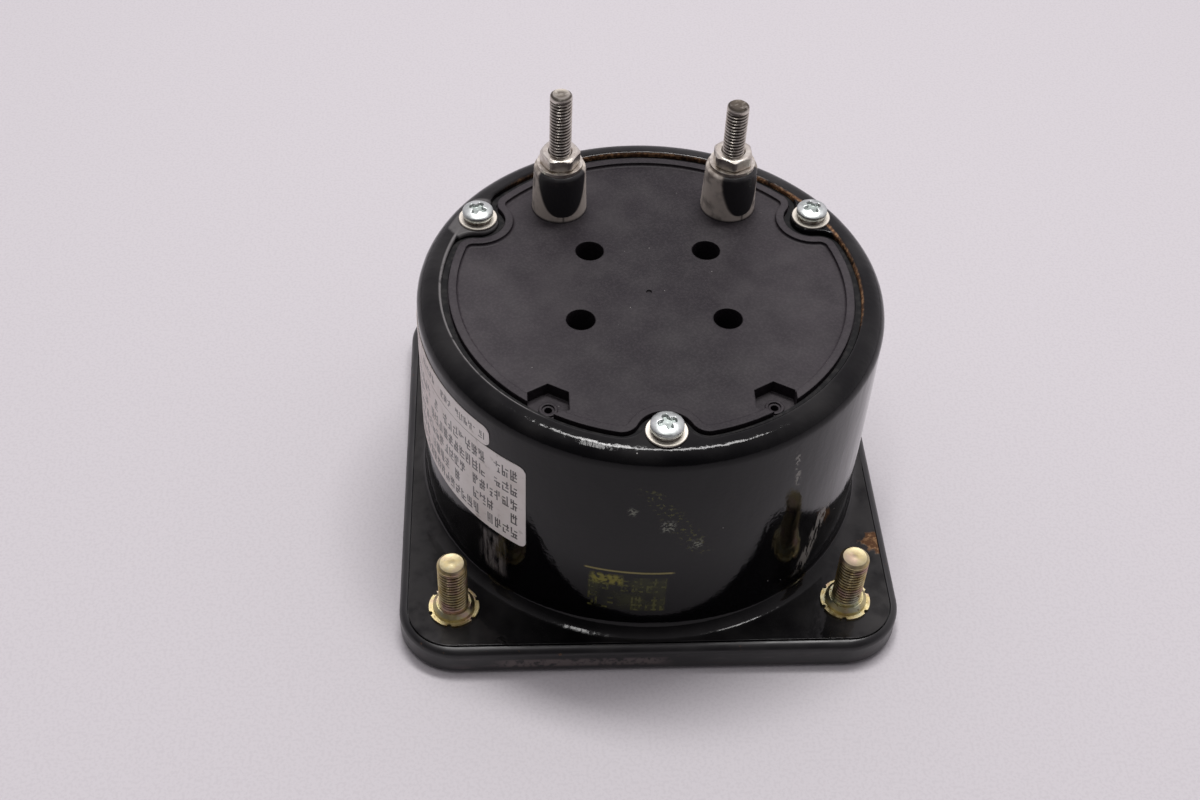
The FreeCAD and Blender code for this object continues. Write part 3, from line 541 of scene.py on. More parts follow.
def base_moulding():
    look = Look("base_moulding", (0.0130, 0.0102, 0.0132), 0.48)
    look.shader.inputs["Specular IOR Level"].default_value = 0.20
    look.edge_round = 0.45
    look.tint(look.patches(30.0, 0.35, 0.75), (0.0180, 0.0142, 0.0178))
    look.tint(look.patches(0.55, 0.42, 0.66), (0.0245, 0.0200, 0.0238))
    # a haze of dust towards both sides
    aside = look.window(look.absolute(look.axis("x")), 10.0, 38.0)
    haze = look.both(aside, look.facing_up(), look.patches(10.0, 0.10, 0.60), 0.070)
    look.layer(haze, (0.31, 0.275, 0.295), 0.7)
    look.roughen(look.patches(9.0, 0.40, 0.70), 0.56)
    # a grey-beige film on the two terminal bosses, left off the side that faces the case screw, which is
    # painted in shade instead; a brown band round the top of each boss, under its washer, is a painted shadow
    # of the washer
    for side, middle, spread in ((-1, 277.0, 62.0), (1, 296.0, 52.0)):
        x = side * POST_SPREAD / MM
        y = POST_BACK / MM
        on_boss = look.both(
            look.window(look.radius(x, y), 7.6, 6.6), look.window(look.axis("z"), 62.1, 62.8))
        rise = look.math("DIVIDE", look.minus(look.axis("z"), 63.6), 8.2, clamp=True)
        half_width = look.times(look.math("POWER", rise, 0.35), spread)
        off_middle = look.absolute(look.minus(look.angle(x, y), middle))
        # painted shade: a band up the boss's side towards the case screw, widening towards the top
        painted_shade_side = look.window(look.minus(half_width, off_middle), -5.0, 5.0)
        film = look.both(on_boss, look.minus(1.0, painted_shade_side))
        look.layer(look.both(film, look.window(look.noise(3.0), 0.1, 0.55), 0.8), (0.74, 0.67, 0.59), 0.6)
        # painted shadow of the washer: a brown band round the top of the boss
        painted_washer_shadow = look.both(on_boss, look.window(look.axis("z"), 71.2, 73.0), look.patches(2.0, 0.35, 0.60))
        look.layer(look.both(painted_washer_shadow, 0.7), (0.17, 0.14, 0.12), 0.6)
        # the painted shade laid dark on the boss's side towards the case screw
        look.layer(look.both(on_boss, painted_shade_side, 0.9), (0.026, 0.026, 0.028), 0.32)
    look.layer(look.both(look.facing_up(), look.patches(9.0, 0.35, 0.8), 0.06), DUST, 0.8)
    look.layer(look.specks(2.6, 0.13, 0.14), (0.30, 0.29, 0.28), 0.8)
    look.raise_by(look.noise(0.45, 3.0), 0.040)
    look.raise_by(look.noise(14.0, 2.0), 0.05)
    return look.finish()


def plated(name, colour, tarnish, roughness, grain=0.3):
    """A plated metal: patchy tarnish, fine grain and small pits."""
    look = Look(name, colour, roughness, metallic=1.0)
    look.tint(look.patches(1.6, 0.35, 0.70), tarnish)
    look.roughen(look.patches(1.1, 0.35, 0.70), roughness + 0.16)
    look.raise_by(look.noise(grain, 2.0), 0.012)
    return look


def thread_grime(look, place, major, pitch, low, high, colour):
    """Dirt in the thread roots of the studs at a place and its mirror images. Lengths in metres."""
    from_axis = look.from_posts(place[0] / MM, place[1] / MM)
    depth = THREAD_DEPTH * pitch
    in_root = look.window(from_axis, (major - 0.10 * depth) / MM, (major - 0.65 * depth) / MM)
    on_thread = look.between(look.axis("z"), low / MM, high / MM, 0.3)
    look.layer(look.both(in_root, on_thread, look.window(look.noise(1.2), 0.1, 0.5)), colour, 0.6)


def nickel_plate():
    look = plated("nickel_plate", (0.70, 0.66, 0.60), (0.54, 0.49, 0.43), 0.28)
    look.layer(look.patches(0.7, 0.70, 0.80), (0.18, 0.15, 0.11), 0.5)
    thread_grime(look, (POST_SPREAD, POST_BACK), POST_RADIUS, POST_PITCH,
                 top_of("terminal_washers"), top_of("terminal_stud_left"), (0.10, 0.085, 0.07))
    return look.finish()


def yellow_zinc():
    look = plated("yellow_zinc", (0.66, 0.57, 0.33), (0.52, 0.40, 0.17), 0.30)
    in_collar = look.between(look.axis("z"), FLANGE_TOP / MM + 0.75, FLANGE_TOP / MM + 2.6, 0.2)
    look.tint(look.both(in_collar, 0.7), (0.60, 0.54, 0.29))
    look.tint(look.both(look.patches(4.0, 0.50, 0.66), 0.7), (0.56, 0.34, 0.34))
    look.tint(look.both(look.patches(3.4, 0.55, 0.70, stretch=(1, 1, 2)), 0.7), (0.50, 0.55, 0.44))
    look.layer(look.patches(0.8, 0.64, 0.74), (0.20, 0.13, 0.06), 0.6)
    stud_top = top_of("mounting_studs") / MM
    stud_end = look.window(look.axis("z"), stud_top - 0.35, stud_top)
    look.layer(look.both(stud_end, 0.75), (0.34, 0.30, 0.20), 0.42)
    thread_grime(look, (MOUNT_HALF_PITCH, MOUNT_HALF_PITCH), MOUNT_RADIUS, MOUNT_PITCH,
                 MOUNT_SHOULDER_TOP, top_of("mounting_studs") - 0.6 * MM, (0.07, 0.035, 0.022))
    return look.finish()


def bright_zinc():
    look = plated("bright_zinc", (0.64, 0.67, 0.66), (0.50, 0.54, 0.52), 0.35)
    height = look.axis("z")
    # painted shade in the screws' recesses, and washers rubbed dull
    head_top = top_of("case_screws") / MM
    in_recess = look.window(height, head_top - 0.30, head_top - 0.75)
    for direction in SCREW_DIRECTIONS:
        x = SCREW_CIRCLE * math.cos(direction) / MM
        y = SCREW_CIRCLE * math.sin(direction) / MM
        near = look.window(look.radius(x, y), 2.15, 1.95)
        # painted shade: the recess of each case screw darkened
        look.layer(look.both(in_recess, near, 0.7), (0.24, 0.28, 0.26), 0.5)
    washer_top = top_of("case_screw_washers") / MM
    look.layer(look.window(height, washer_top + 0.06, washer_top + 0.02), (0.72, 0.68, 0.60), 0.46)
    return look.finish()


def spring_steel():
    look = plated("spring_steel", (0.42, 0.40, 0.38), (0.16, 0.13, 0.10), 0.34)
    return look.finish()


def staff_steel():
    return plated("staff_steel", (0.60, 0.60, 0.61), (0.45, 0.45, 0.47), 0.16).finish()


def turned_brass():
    look = plated("turned_brass", (0.75, 0.55, 0.24), (0.50, 0.34, 0.14), 0.26)
    look.raise_by(look.noise(0.25, 1.0, stretch=(8, 8, 0.3)), 0.01)
    return look.finish()


def spring_bronze():
    return plated("spring_bronze", (0.70, 0.44, 0.24), (0.50, 0.28, 0.14), 0.24).finish()


def copper_wire():
    look = plated("copper_wire", (0.66, 0.30, 0.14), (0.42, 0.16, 0.08), 0.22)
    winding = look.node("ShaderNodeTexWave", wave_type="BANDS", bands_direction="Z")
    look.feed(winding.inputs["Vector"], look.place)
    winding.inputs["Scale"].default_value = 1.6
    look.raise_by(winding.outputs["Fac"], 0.08)
    return look.finish()


def cast_aluminium():
    look = Look("cast_aluminium", (0.55, 0.56, 0.57), 0.42, metallic=0.9)
    look.tint(look.patches(4.0, 0.35, 0.70), (0.40, 0.41, 0.42))
    look.roughen(look.patches(2.0, 0.35, 0.70), 0.58)
    look.raise_by(look.noise(0.6), 0.05)
    return look.finish()


def magnet_alloy():
    look = Look("magnet_alloy", (0.16, 0.155, 0.15), 0.55, metallic=0.7)
    look.tint(look.patches(1.8, 0.40, 0.70), (0.09, 0.085, 0.08))
    look.raise_by(look.noise(0.5, 5.0), 0.09)
    return look.finish()


def soft_iron():
    look = Look("soft_iron", (0.30, 0.30, 0.31), 0.38, metallic=0.9)
    look.tint(look.patches(3.0, 0.40, 0.70), (0.18, 0.17, 0.16))
    look.raise_by(look.noise(0.3, 2.0, stretch=(1, 1, 6)), 0.02)
    return look.finish()


def label_stock():
    look = Look("label_stock", (0.88, 0.84, 0.80), 0.42)
    look.tint(look.patches(8.0, 0.40, 0.75), (0.76, 0.71, 0.66))
    angle = look.angle()
    look.tint(look.both(look.window(angle, 214.0, 196.0), 0.4), (0.62, 0.48, 0.44))
    height = look.axis("z")
    round_the_barrel = look.round_the_barrel(angle)
    # five rows on the rating label and one, smaller, on the date label
    from_edge = look.minus(height, 28.0)
    large = look.strokes(round_the_barrel, from_edge, 2.15, 4.55, 0.66)
    on_rating = look.both(look.between(height, 28.0, 50.4, 0.05), look.window(angle, 234.6, 234.4))
    small = look.strokes(round_the_barrel, look.minus(height, 53.2), 1.5, 3.0, 0.58)
    on_date = look.both(look.between(height, 53.2, 56.0, 0.05), look.window(angle, 224.8, 224.6))
    print_mask = look.either(look.both(large, on_rating), look.both(small, on_date))
    faded = look.window(look.noise(5.0), 0.15, 0.45)
    look.tint(look.both(print_mask, faded, 0.92), (0.030, 0.027, 0.027))
    look.layer(look.both(look.patches(2.0, 0.60, 0.75), 0.5), (0.28, 0.24, 0.20), 0.7)
    look.raise_by(look.noise(0.7), 0.015)
    return look.finish()


def dial_paint():
    look = Look("dial_paint", (0.80, 0.79, 0.74), 0.45)
    look.tint(look.patches(12.0, 0.35, 0.75), (0.74, 0.72, 0.65))
    look.raise_by(look.noise(0.4), 0.006)
    return look.finish()


def pointer_paint():
    look = Look("pointer_paint", (0.012, 0.012, 0.012), 0.38)
    look.roughen(look.patches(3.0, 0.40, 0.70), 0.55)
    look.raise_by(look.noise(0.3), 0.008)
    return look.finish()


def resistor_body():
    look = Look("resistor_body", (0.10, 0.14, 0.09), 0.42)
    look.tint(look.patches(2.5, 0.40, 0.70), (0.07, 0.10, 0.07))
    look.raise_by(look.noise(0.7), 0.05)
    return look.finish()


def sleeving(name, colour):
    """Woven cloth sleeving on a hook-up wire."""
    look = Look(name, colour, 0.8)
    weave = look.node("ShaderNodeTexWave", wave_type="BANDS", bands_direction="DIAGONAL")
    look.feed(weave.inputs["Vector"], look.place)
    weave.inputs["Scale"].default_value = 1.2
    look.tint(look.both(weave.outputs["Fac"], 0.5), tuple(0.4 * c for c in colour))
    look.raise_by(weave.outputs["Fac"], 0.06)
    look.raise_by(look.noise(0.3), 0.03)
    return look.finish()


def red_sleeving():
    return sleeving("red_sleeving", (0.34, 0.035, 0.025))


def black_sleeving():
    return sleeving("black_sleeving", (0.03, 0.03, 0.032))


LOOKS = {maker.__name__: maker() for maker in (
    case_enamel, bezel_enamel, gasket_rubber, window_glass, spring_steel, yellow_zinc, bright_zinc,
    base_moulding, nickel_plate, label_stock, dial_paint, pointer_paint, cast_aluminium, turned_brass,
    spring_bronze, magnet_alloy, soft_iron, copper_wire, staff_steel, resistor_body, red_sleeving,
    black_sleeving)}


def dress_cad_nodes():
    """Every CAD node takes the procedural material of the slot that the record gives it."""
    for row in frame["record"]["subparts"]:
        mesh = frame["nodes"][row["node"]].data
        mesh.materials.clear()
        mesh.materials.append(LOOKS[row["material_slot"]])


# ---------------------------------------------------------------- steel case
def opening_radius(angles):
    """The rear opening's outline: a circle with a filleted ear for each case screw."""
    blend_circle = OPENING_RADIUS - LOBE_FILLET
    reach = LOBE_RADIUS + LOBE_FILLET
    # the angle at the meter's axis between an ear's middle and its fillet's centre
    blend_angle = math.acos(
        (SCREW_CIRCLE**2 + blend_circle**2 - reach**2) / (2 * SCREW_CIRCLE * blend_circle))
    share = LOBE_RADIUS / reach
    touch = Vector((SCREW_CIRCLE, 0.0)).lerp(
        Vector((blend_circle * math.cos(blend_angle), blend_circle * math.sin(blend_angle))), share)
    touch_angle = math.atan2(touch.y, touch.x)
    radii = np.full(angles.shape, OPENING_RADIUS)
    for direction in SCREW_DIRECTIONS:
        off = np.abs((angles - direction + math.pi) % FULL_TURN - math.pi)
        ear = off < touch_angle
        under_root = np.clip(LOBE_RADIUS**2 - (SCREW_CIRCLE * np.sin(off)) ** 2, 0.0, None)
        radii = np.where(ear, SCREW_CIRCLE * np.cos(off) - np.sqrt(under_root), radii)
        fillet = (off >= touch_angle) & (off < blend_angle)
        aside = off - blend_angle
        under_root = np.clip(LOBE_FILLET**2 - (blend_circle * np.sin(aside)) ** 2, 0.0, None)
        radii = np.where(fillet, blend_circle * np.cos(aside) + np.sqrt(under_root), radii)
    return radii


def rounded_square_radius(angles, half, corner):
    """A square with round corners, as its distance from the middle in each direction."""
    octant = (angles + math.pi / 4) % (math.pi / 2) - math.pi / 4
    side = half / np.cos(octant)
    from_corner = np.abs(octant)
    middle = (half - corner) * math.sqrt(2)
    aside = from_corner - math.pi / 4
    under_root = np.clip(corner**2 - (middle * np.sin(aside)) ** 2, 0.0, None)
    rounded = middle * np.cos(aside) + np.sqrt(under_root)
    in_corner = half * np.tan(from_corner) > half - corner
    return np.where(in_corner, rounded, side)


def case_angles():
    """Column directions: even all round, closer at the ears of the opening and at the flange's corners."""
    found = set(np.round(np.arange(0, 360, 1.5), 3))
    for direction in (30, 150, 270):
        found.update(np.round((direction + np.linspace(-12.5, 12.5, 61)) % 360, 3))
    for corner in (45, 135, 225, 315):
        found.update(np.round(corner + np.linspace(-7.5, 7.5, 21), 3))
    return np.radians(sorted(found))


def make_case():
    """One drawn shell, a closed loop of rings: over the rim, down the barrel, round the flange and back."""
    shape = Shape()
    angles = case_angles()
    opening = opening_radius(angles)
    bead = 0.7 * MM
    shoulder_middle = BARREL_RADIUS - SHOULDER_ROUND
    shoulder_start = shoulder_middle + SHOULDER_ROUND * math.sin(RIM_LEAN)
    crown = math.tan(RIM_LEAN) / (2 * (shoulder_start - OPENING_RADIUS))

    def rim_height(radii):
        return BACK_TOP - crown * np.maximum(radii - OPENING_RADIUS, 0.0) ** 2

    def dented(radius, height):
        """The drawn steel's barrel is a little uneven, never outside its true radius."""
        waves = np.array([
            noise.noise((12 * math.cos(a), 12 * math.sin(a), height / (9 * MM))) for a in angles])
        return radius - 0.03 * MM * (1 + waves)

    shoulder_centre = (
        shoulder_middle, float(rim_height(shoulder_start)) - SHOULDER_ROUND * math.cos(RIM_LEAN))
    foot_centre = (BARREL_RADIUS + FOOT_ROUND, FLANGE_TOP + FOOT_ROUND)
    edge = rounded_square_radius(angles, FLANGE_HALF, FLANGE_CORNER)
    edge_round = 0.16 * MM
    rings = []

    def add(radii, height):
        rings.append(turned_ring(radii, height, angles))

    for turn in np.radians(np.linspace(180, 90, 6)):
        radii = opening + bead * (1 + math.cos(turn))
        add(radii, rim_height(radii) - bead * (1 - math.sin(turn)))
    for share in np.linspace(0, 1, 8)[1:-1]:
        radii = (opening + bead) * (1 - share) + shoulder_start * share
        add(radii, rim_height(radii))
    for r, z in arc(shoulder_centre, SHOULDER_ROUND, 90 - math.degrees(RIM_LEAN), 0, 18):
        add(dented(r, z), z)
    for z in np.linspace(shoulder_centre[1], foot_centre[1], 34)[1:-1]:
        add(dented(BARREL_RADIUS, z), z)
    for r, z in arc(foot_centre, FOOT_ROUND, 180, 270, 12):
        add(dented(r, z), z)
    for share in np.linspace(0, 1, 8)[1:]:
        radii = foot_centre[0] * (1 - share) + (edge - edge_round - 0.12 * MM) * share
        add(radii, FLANGE_TOP)
    for r, z in arc((0.0, FLANGE_TOP - edge_round), edge_round, 90, 0, 5):
        add(edge - edge_round + r, z)
    for r, z in arc((0.0, FLANGE_UNDER + edge_round), edge_round, 0, -90, 3):
        add(edge - edge_round + r, z)
    inner = BARREL_RADIUS - STEEL
    inner_foot = FOOT_ROUND - STEEL
    for r, z in arc((inner + inner_foot, FLANGE_UNDER + inner_foot), inner_foot, 270, 180, 6):
        add(r, z)
    inner_shoulder = SHOULDER_ROUND - STEEL
    for r, z in arc((inner - inner_shoulder, shoulder_centre[1]), inner_shoulder, 0, 90, 8):
        add(r, z)
    add(opening, BACK_TOP - STEEL)
    shape.loft(rings, loop=True)
    return shape.piece("steel_case", "case_enamel", replaces=["case_shell"], sharp=50)


# ---------------------------------------------------------------- threaded hardware
ROD_ANGLES = even_angles(48)


def threaded_rod(shape, centre, radius, pitch, foot, thread_low, thread_high, tip):
    """A rod with a helical thread between two heights. Foot and tip are its plain ends, as (radius, z)."""
    angles = ROD_ANGLES
    depth = THREAD_DEPTH * pitch
    rows_per_turn = 8
    rings = [turned_ring(r, z, angles, centre) for r, z in foot]
    rows = int((thread_high - thread_low) / pitch * rows_per_turn)
    for row in range(rows + 1):
        z = thread_low + row * (thread_high - thread_low) / rows
        phase = (z / pitch - angles / FULL_TURN) % 1.0
        crest = np.clip(1.3 * (1 - np.abs(2 * phase - 1)) - 0.15, 0.0, 1.0)
        fade_in = smoothstep(z, thread_low, thread_low + pitch)
        fade = fade_in * smoothstep(z, thread_high, thread_high - 0.6 * pitch)
        rings.append(turned_ring(radius - depth * fade * (1 - crest), z, angles, centre))
    for r, z in tip:
        rings.append(turned_ring(r, z, angles, centre))
    shape.loft(rings)


def chamfered_tip(radius, high, chamfer, dish):
    """The end of a stud: a chamfer with soft edges and a shallow dish left by the cutting tool."""
    soft = 0.12 * MM
    return [
        (radius, high - chamfer - soft),
        (radius - 0.3 * soft, high - chamfer),
        (radius - chamfer, high - soft),
        (radius - chamfer - soft, high),
        (radius - chamfer - 4 * soft, high - 0.3 * dish),
        (0.3 * radius, high - dish),
        (0.12 * radius, high - 0.6 * dish),
    ]


def make_mounting_studs():
    """Round-headed studs: the head under the flange, a plain shoulder in the collar, then the thread."""
    shape = Shape()
    low = bottom_of("mounting_studs")
    high = top_of("mounting_studs")
    head_top = FLANGE_UNDER - 0.5 * MM
    head_radius = 5.1 * MM
    chamfer = 0.5 * MM
    foot = [
        (head_radius, low), (head_radius, head_top), (MOUNT_SHOULDER_RADIUS, head_top),
        (MOUNT_SHOULDER_RADIUS, MOUNT_SHOULDER_TOP), (MOUNT_RADIUS, MOUNT_SHOULDER_TOP)]
    tip = chamfered_tip(MOUNT_RADIUS, high, chamfer, 0.15 * MM)
    for centre in MOUNT_PLACES:
        threaded_rod(
            shape, centre, MOUNT_RADIUS, MOUNT_PITCH, foot, MOUNT_SHOULDER_TOP + 0.1 * MM,
            high - chamfer - 0.2 * MM, tip)
    return shape.piece("mounting_stud_set", "yellow_zinc", replaces=["mounting_studs"])


def hex_radius(angles, flats, turn):
    across = (angles - turn + math.pi / 6) % (math.pi / 3) - math.pi / 6
    return flats / 2 / np.cos(across)


def make_terminal_stud(side, node, piece_name):
    """A hex-headed stud: the head is moulded in under the base and the thread stands out of the boss."""
    shape = Shape()
    low = bottom_of(node)
    high = top_of(node)
    head = hex_radius(ROD_ANGLES, POST_HEAD_FLATS, 0.0)
    head_top = low + POST_HEAD_HEIGHT
    foot = [(head, low), (head, head_top), (POST_RADIUS, head_top)]
    plain_tip = 1.1 * MM
    threaded_rod(
        shape, (side * POST_SPREAD, POST_BACK), POST_RADIUS, POST_PITCH, foot,
        top_of("terminal_washers") - 2.0 * MM, high - plain_tip,
        chamfered_tip(POST_RADIUS * 0.98, high, 0.45 * MM, 0.2 * MM))
    return shape.piece(piece_name, "nickel_plate", replaces=[node])


def make_nut(side, node, piece_name, body, turn):
    """A hex nut, chamfered at 30 degrees above and below, so that each face ends in a curve."""
    shape = Shape()
    low = bottom_of(node)
    high = top_of(node)
    centre = (side * POST_SPREAD, POST_BACK)
    angles = even_angles(144)
    outline = hex_radius(angles, NUT_FLATS, turn)
    corner = NUT_FLATS / 2 / math.cos(math.pi / 6)
    soft = 0.10 * MM
    # the outline's corners are rounded a little
    outline = np.minimum(outline, corner - 0.22 * MM + 0.1 * (outline - corner + 0.22 * MM).clip(0))
    face = 0.95 * NUT_FLATS / 2
    chamfer_height = (corner - face) * math.tan(math.radians(30))
    bore = POST_RADIUS + 0.02 * MM
    mouth = 0.25 * MM
    rings = [
        turned_ring(bore, low + mouth, angles, centre),
        turned_ring(bore + mouth, low, angles, centre),
        turned_ring(face - soft, low, angles, centre)]
    steps = np.linspace(0, 1, 9)
    for share in steps:
        allowed = np.minimum(outline, face + share * (corner - face))
        rings.append(turned_ring(allowed, low + share * chamfer_height + 0.3 * soft, angles, centre))
    for share in steps[::-1]:
        allowed = np.minimum(outline, face + share * (corner - face))
        rings.append(turned_ring(allowed, high - share * chamfer_height - 0.3 * soft, angles, centre))
    rings.append(turned_ring(face - soft, high, angles, centre))
    rings.append(turned_ring(bore + mouth, high, angles, centre))
    rings.append(turned_ring(bore, high - mouth, angles, centre))
    shape.loft(rings, loop=True)
    return shape.piece(piece_name, "nickel_plate", body=body, replaces=[node], sharp=25)


def make_case_screws():
    """Pan heads with a wide cross recess, each on a split spring washer and a flat washer."""
    screws = Shape()
    springs = Shape()
    flats = Shape()
    flat_top = top_of("case_screw_washers")
    spring_top = top_of("case_lock_washers")
    head_top = top_of("case_screws")
    head_radius = 3.35 * MM
    dome = 0.85 * MM
    shank = 1.75 * MM
    arm_half = 0.55 * MM
    arm_reach = 1.85 * MM
    recess = 0.85 * MM
    blur = 0.22 * MM
    angles = even_angles(128)
    for direction, turn in zip(SCREW_DIRECTIONS, (0.35, 1.1, 0.3)):
        centre = (SCREW_CIRCLE * math.cos(direction), SCREW_CIRCLE * math.sin(direction))
        rings = [
            turned_ring(shank, bottom_of("case_screws"), angles, centre),
            turned_ring(shank, spring_top + 0.02 * MM, angles, centre),
            turned_ring(head_radius - 0.15 * MM, spring_top + 0.02 * MM, angles, centre),
            turned_ring(head_radius, spring_top + 0.2 * MM, angles, centre),
            turned_ring(head_radius, head_top - dome - 0.2 * MM, angles, centre)]
        for radius in np.linspace(head_radius, 0.06 * MM, 44):
            share = radius / head_radius
            height = head_top - dome * (1 - math.sqrt(1 - 0.96 * share**2)) - 0.2 * MM * share**2
            across = np.abs(radius * np.cos(angles - turn))
            along = np.abs(radius * np.sin(angles - turn))
            off_arm = np.minimum(across, along)
            in_recess = smoothstep(off_arm, arm_half + blur, arm_half - blur)
            in_recess = in_recess * smoothstep(radius, arm_reach + blur, arm_reach - blur)
            in_recess = np.maximum(in_recess, smoothstep(radius, 1.15 * MM, 0.95 * MM))
            slope = 1.0 - 0.45 * share
            rings.append(turned_ring(radius, height - recess * slope * in_recess, angles, centre))
        screws.loft(rings)
        # the spring washer is one turn of square wire with a step where it is split
        start = 1.9 * MM
        outer = 3.0 * MM
        turns = np.linspace(0.04, FULL_TURN - 0.04, 60)
        wire = []
        for t in turns:
            lift = 0.10 * MM * (t / FULL_TURN)
            low = flat_top + 0.02 * MM + lift
            high = spring_top - 0.14 * MM + lift
            here = t + direction + 2.0
            section = [(start, low), (outer, low), (outer, high), (start, high)]
            wire.append([
                (centre[0] + r * math.cos(here), centre[1] + r * math.sin(here), z) for r, z in section])
        springs.loft(wire)
        soft = 0.1 * MM
        disc = 4.2 * MM
        low = bottom_of("case_screw_washers")
        profile = [
            (start, low), (disc - soft, low), (disc, low + soft), (disc, flat_top - soft),
            (disc - soft, flat_top), (start + soft, flat_top), (start, flat_top - soft)]
        lathe(flats, profile, centre, columns=96, loop=True)
    screws.piece("case_screw_set", "bright_zinc", replaces=["case_screws"], sharp=40)
    springs.piece("case_spring_washer_set", "spring_steel", replaces=["case_lock_washers"])
    flats.piece("case_flat_washer_set", "bright_zinc", replaces=["case_screw_washers"])


# ---------------------------------------------------------------- stickers
def make_sticker(node, piece_name, first, last):
    """A thin sticker that follows the barrel between two directions, with round corners."""
    shape = Shape()
    low = bottom_of(node)
    high = top_of(node)
    under = BARREL_RADIUS + 0.01 * MM
    thickness = 0.12 * MM
    corner = 1.8 * MM
    middle = math.radians((first + last) / 2)
    half_turn = math.radians((last - first) / 2)
    edge_steps = np.linspace(0, math.pi / 2, 7)
    near_corner = corner * (1 - np.cos(edge_steps))
    heights = [low + h for h in near_corner] + [high - h for h in near_corner[::-1]]
    columns = 48
    rings = []
    for z in heights:
        short = max(0.0, corner - min(z - low, high - z))
        inset = corner - math.sqrt(max(corner**2 - short**2, 0.0))
        turns = middle + np.linspace(-1, 1, columns) * (half_turn - inset / BARREL_RADIUS)
        outer = turned_ring(under + thickness, z, turns)
        inner = turned_ring(under, z, turns[::-1])
        rings.append(np.concatenate([outer, inner]))
    shape.loft(rings)
    return shape.piece(piece_name, "label_stock", replaces=[node])


# ---------------------------------------------------------------- dial
def dial_point(turn, radius, aside=0.0):
    """A point on the dial, by degrees clockwise from the meter's top as its reader sees it."""
    angle = math.radians(turn)
    out = Vector((math.sin(angle), -math.cos(angle), 0.0))
    clockwise = Vector((math.cos(angle), math.sin(angle), 0.0))
    return out * radius + clockwise * aside


def make_dial_scale():
    """Ticks, the scale arc and the numbers 0 to 10, as a thin layer of ink on the dial's face."""
    shape = Shape()
    ink = 0.05 * MM
    inner = 32.5 * MM

    def bar(turn, low, high, width):
        corners = [(low, -width / 2), (low, width / 2), (high, width / 2), (high, -width / 2)]
        flat = [dial_point(turn, r, a) for r, a in corners]
        shape.loft([[(p.x, p.y, z) for p in flat] for z in (DIAL_FACE - ink, DIAL_FACE)])

    for step in range(51):
        turn = DIAL_ZERO + DIAL_SWEEP * step / 50
        if step % 5 == 0:
            bar(turn, inner, 37.5 * MM, 0.8 * MM)
        else:
            bar(turn, inner, 35.5 * MM, 0.35 * MM)
    width = 0.35 * MM
    turns = [DIAL_ZERO + DIAL_SWEEP * k / 120 for k in range(121)]
    rings = []
    for turn in turns:
        a = dial_point(turn, inner)
        b = dial_point(turn, inner - width)
        rings.append([(a.x, a.y, DIAL_FACE), (b.x, b.y, DIAL_FACE),
                      (b.x, b.y, DIAL_FACE - ink), (a.x, a.y, DIAL_FACE - ink)])
    shape.loft(rings)
    shape.piece("dial_scale", "pointer_paint", sharp=20)


def make_dial_numbers():
    size = 6.0 * MM
    number_radius = 26.5 * MM
    for value in range(0, 11, 2):
        turn = DIAL_ZERO + DIAL_SWEEP * value / 10
        text = bpy.data.curves.new("number", "FONT")
        text.body = str(value)
        text.size = size
        text.extrude = 0.03 * MM
        text.align_x = "CENTER"
        text.align_y = "CENTER"
        text.resolution_u = 4
        holder = bpy.data.objects.new("number", text)
        mesh = bpy.data.meshes.new_from_object(holder)
        bpy.data.objects.remove(holder)
        place = dial_point(turn, number_radius)
        face_out = Matrix.Rotation(math.pi, 4, "X")
        mesh.transform(Matrix.Translation((place.x, place.y, DIAL_FACE - 0.03 * MM)) @ face_out)
        settle(link(bpy.data.objects.new("dial_number_%d" % value, mesh)), "pointer_paint")


# ---------------------------------------------------------------- studio
def make_floor():
    """The bench top, a hair below the bezel's front face so that the two do not coincide."""
    mesh = bpy.data.meshes.new("floor")
    reach = 3.0
    level = -0.05 * MM
    corners = [(-reach, -reach, level), (reach, -reach, level), (reach, reach, level), (-reach, reach, level)]
    mesh.from_pydata(corners, [], [(0, 1, 2, 3)])
    floor = link(bpy.data.objects.new("floor", mesh))
    look = Look("floor", (0.60, 0.575, 0.60), 0.85)
    look.tint(look.patches(0.7, 0.45, 0.62, detail=5.0), (0.565, 0.54, 0.565))
    mesh.materials.append(look.finish())


def make_light(name, place, aim, size, power, colour=(1.0, 1.0, 1.0)):
    data = bpy.data.lights.new(name, "AREA")
    data.shape = "RECTANGLE"
    data.size = size[0]
    data.size_y = size[1]
    data.energy = power
    data.color = colour
    lamp = link(bpy.data.objects.new(name, data))
    lamp.location = place
    lamp.rotation_euler = (Vector(aim) - Vector(place)).to_track_quat("-Z", "Y").to_euler()


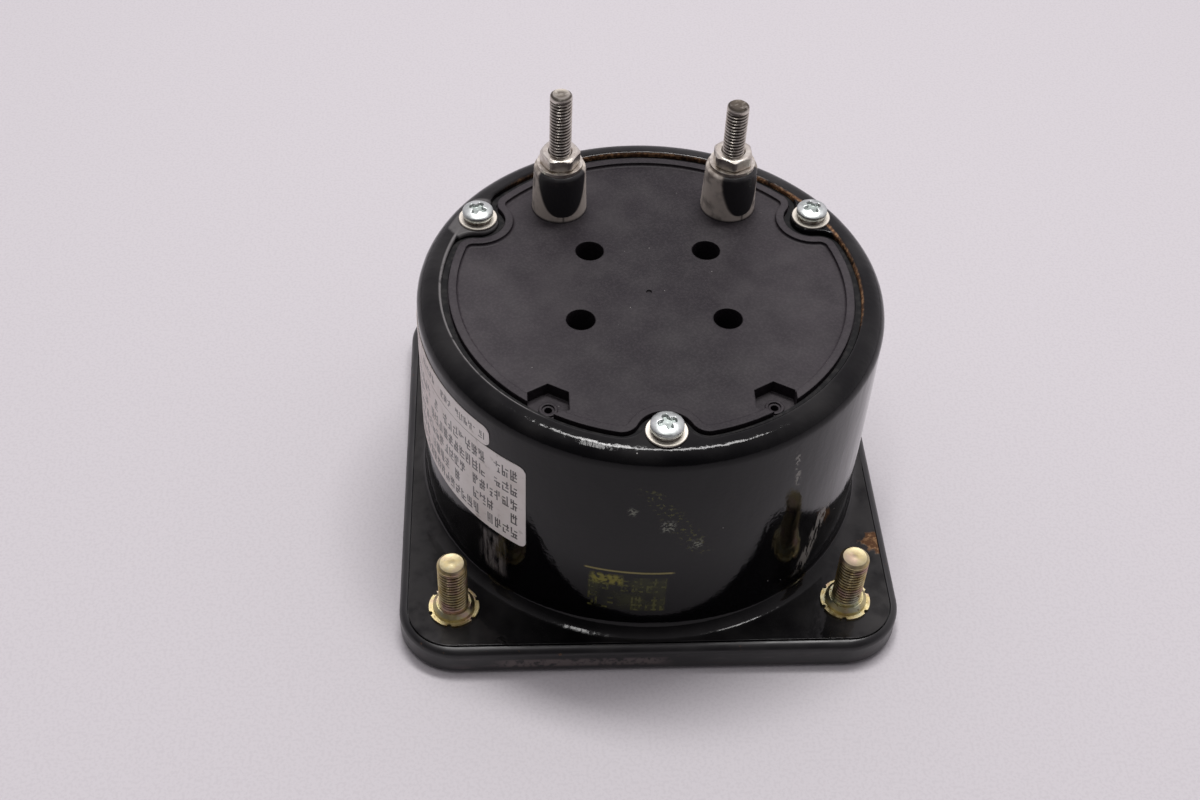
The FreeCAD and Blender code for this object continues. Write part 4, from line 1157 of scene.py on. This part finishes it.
def make_lights():
    """A softbox behind and a strip overhead, in a pale room that is brighter behind and to the right."""
    middle = (0.0, 0.0, 0.04)
    make_light("softbox", (0.10, 0.27, 1.12), middle, (0.62, 0.17), 8.2, (1.0, 0.985, 0.98))
    make_light("strip", (-0.14, 0.05, 1.12), middle, (0.74, 0.07), 2.6, (1.0, 0.985, 0.98))
    world = bpy.data.worlds.new("studio")
    bpy.context.scene.world = world
    world.use_nodes = True
    nodes = world.node_tree.nodes
    links = world.node_tree.links
    towards = nodes.new("ShaderNodeVectorMath")
    towards.operation = "DOT_PRODUCT"
    links.new(nodes.new("ShaderNodeTexCoord").outputs["Generated"], towards.inputs[0])
    towards.inputs[1].default_value = (0.35, 0.94, 0.0)
    fade = nodes.new("ShaderNodeMapRange")
    links.new(towards.outputs["Value"], fade.inputs["Value"])
    fade.inputs["From Min"].default_value = -0.7
    fade.inputs["From Max"].default_value = 0.7
    fade.inputs["To Min"].default_value = 0.09
    fade.inputs["To Max"].default_value = 0.74
    backdrop = nodes["Background"]
    backdrop.inputs["Color"].default_value = (0.97, 0.91, 0.97, 1.0)
    links.new(fade.outputs[0], backdrop.inputs["Strength"])


def make_camera():
    """The photograph's view: from the label side, well above, turned a little and leaning to one side."""
    elevation = math.radians(46.58)
    lean = math.radians(-2.774)
    yaw = math.radians(4.638)
    aim_across = 9.77 * MM
    aim_up = -18.23 * MM
    distance = 389.0 * MM
    forward = Vector((0.0, math.cos(elevation), -math.sin(elevation)))
    right = Vector((1.0, 0.0, 0.0))
    up = Vector((0.0, math.sin(elevation), math.cos(elevation)))
    place = -distance * forward - aim_across * right - aim_up * up
    leaning_right = math.cos(lean) * right - math.sin(lean) * up
    leaning_up = math.sin(lean) * right + math.cos(lean) * up
    axes = Matrix((leaning_right, leaning_up, -forward)).transposed().to_4x4()
    data = bpy.data.cameras.new("camera")
    data.sensor_width = 36.0
    data.lens = 48.58
    data.clip_start = 0.01
    camera = link(bpy.data.objects.new("camera", data))
    camera.matrix_world = Matrix.Rotation(-yaw, 4, "Z") @ Matrix.Translation(place) @ axes
    bpy.context.scene.camera = camera


# ---------------------------------------------------------------- the whole scene
dress_cad_nodes()
make_case()
make_mounting_studs()
make_terminal_stud(-1, "terminal_stud_left", "left_terminal_stud")
make_terminal_stud(1, "terminal_stud_right", "right_terminal_stud")
make_nut(-1, "terminal_nut_left", "left_terminal_nut", "left_nut", math.radians(30))
make_nut(1, "terminal_nut_right", "right_terminal_nut", "right_nut", 0.0)
make_case_screws()
make_sticker("rating_label", "rating_sticker", 174.0, 236.8)
make_sticker("date_label", "date_sticker", 180.0, 226.2)
make_dial_scale()
make_dial_numbers()
make_floor()
make_lights()
make_camera()
bpy.context.scene.view_settings.view_transform = "Standard"
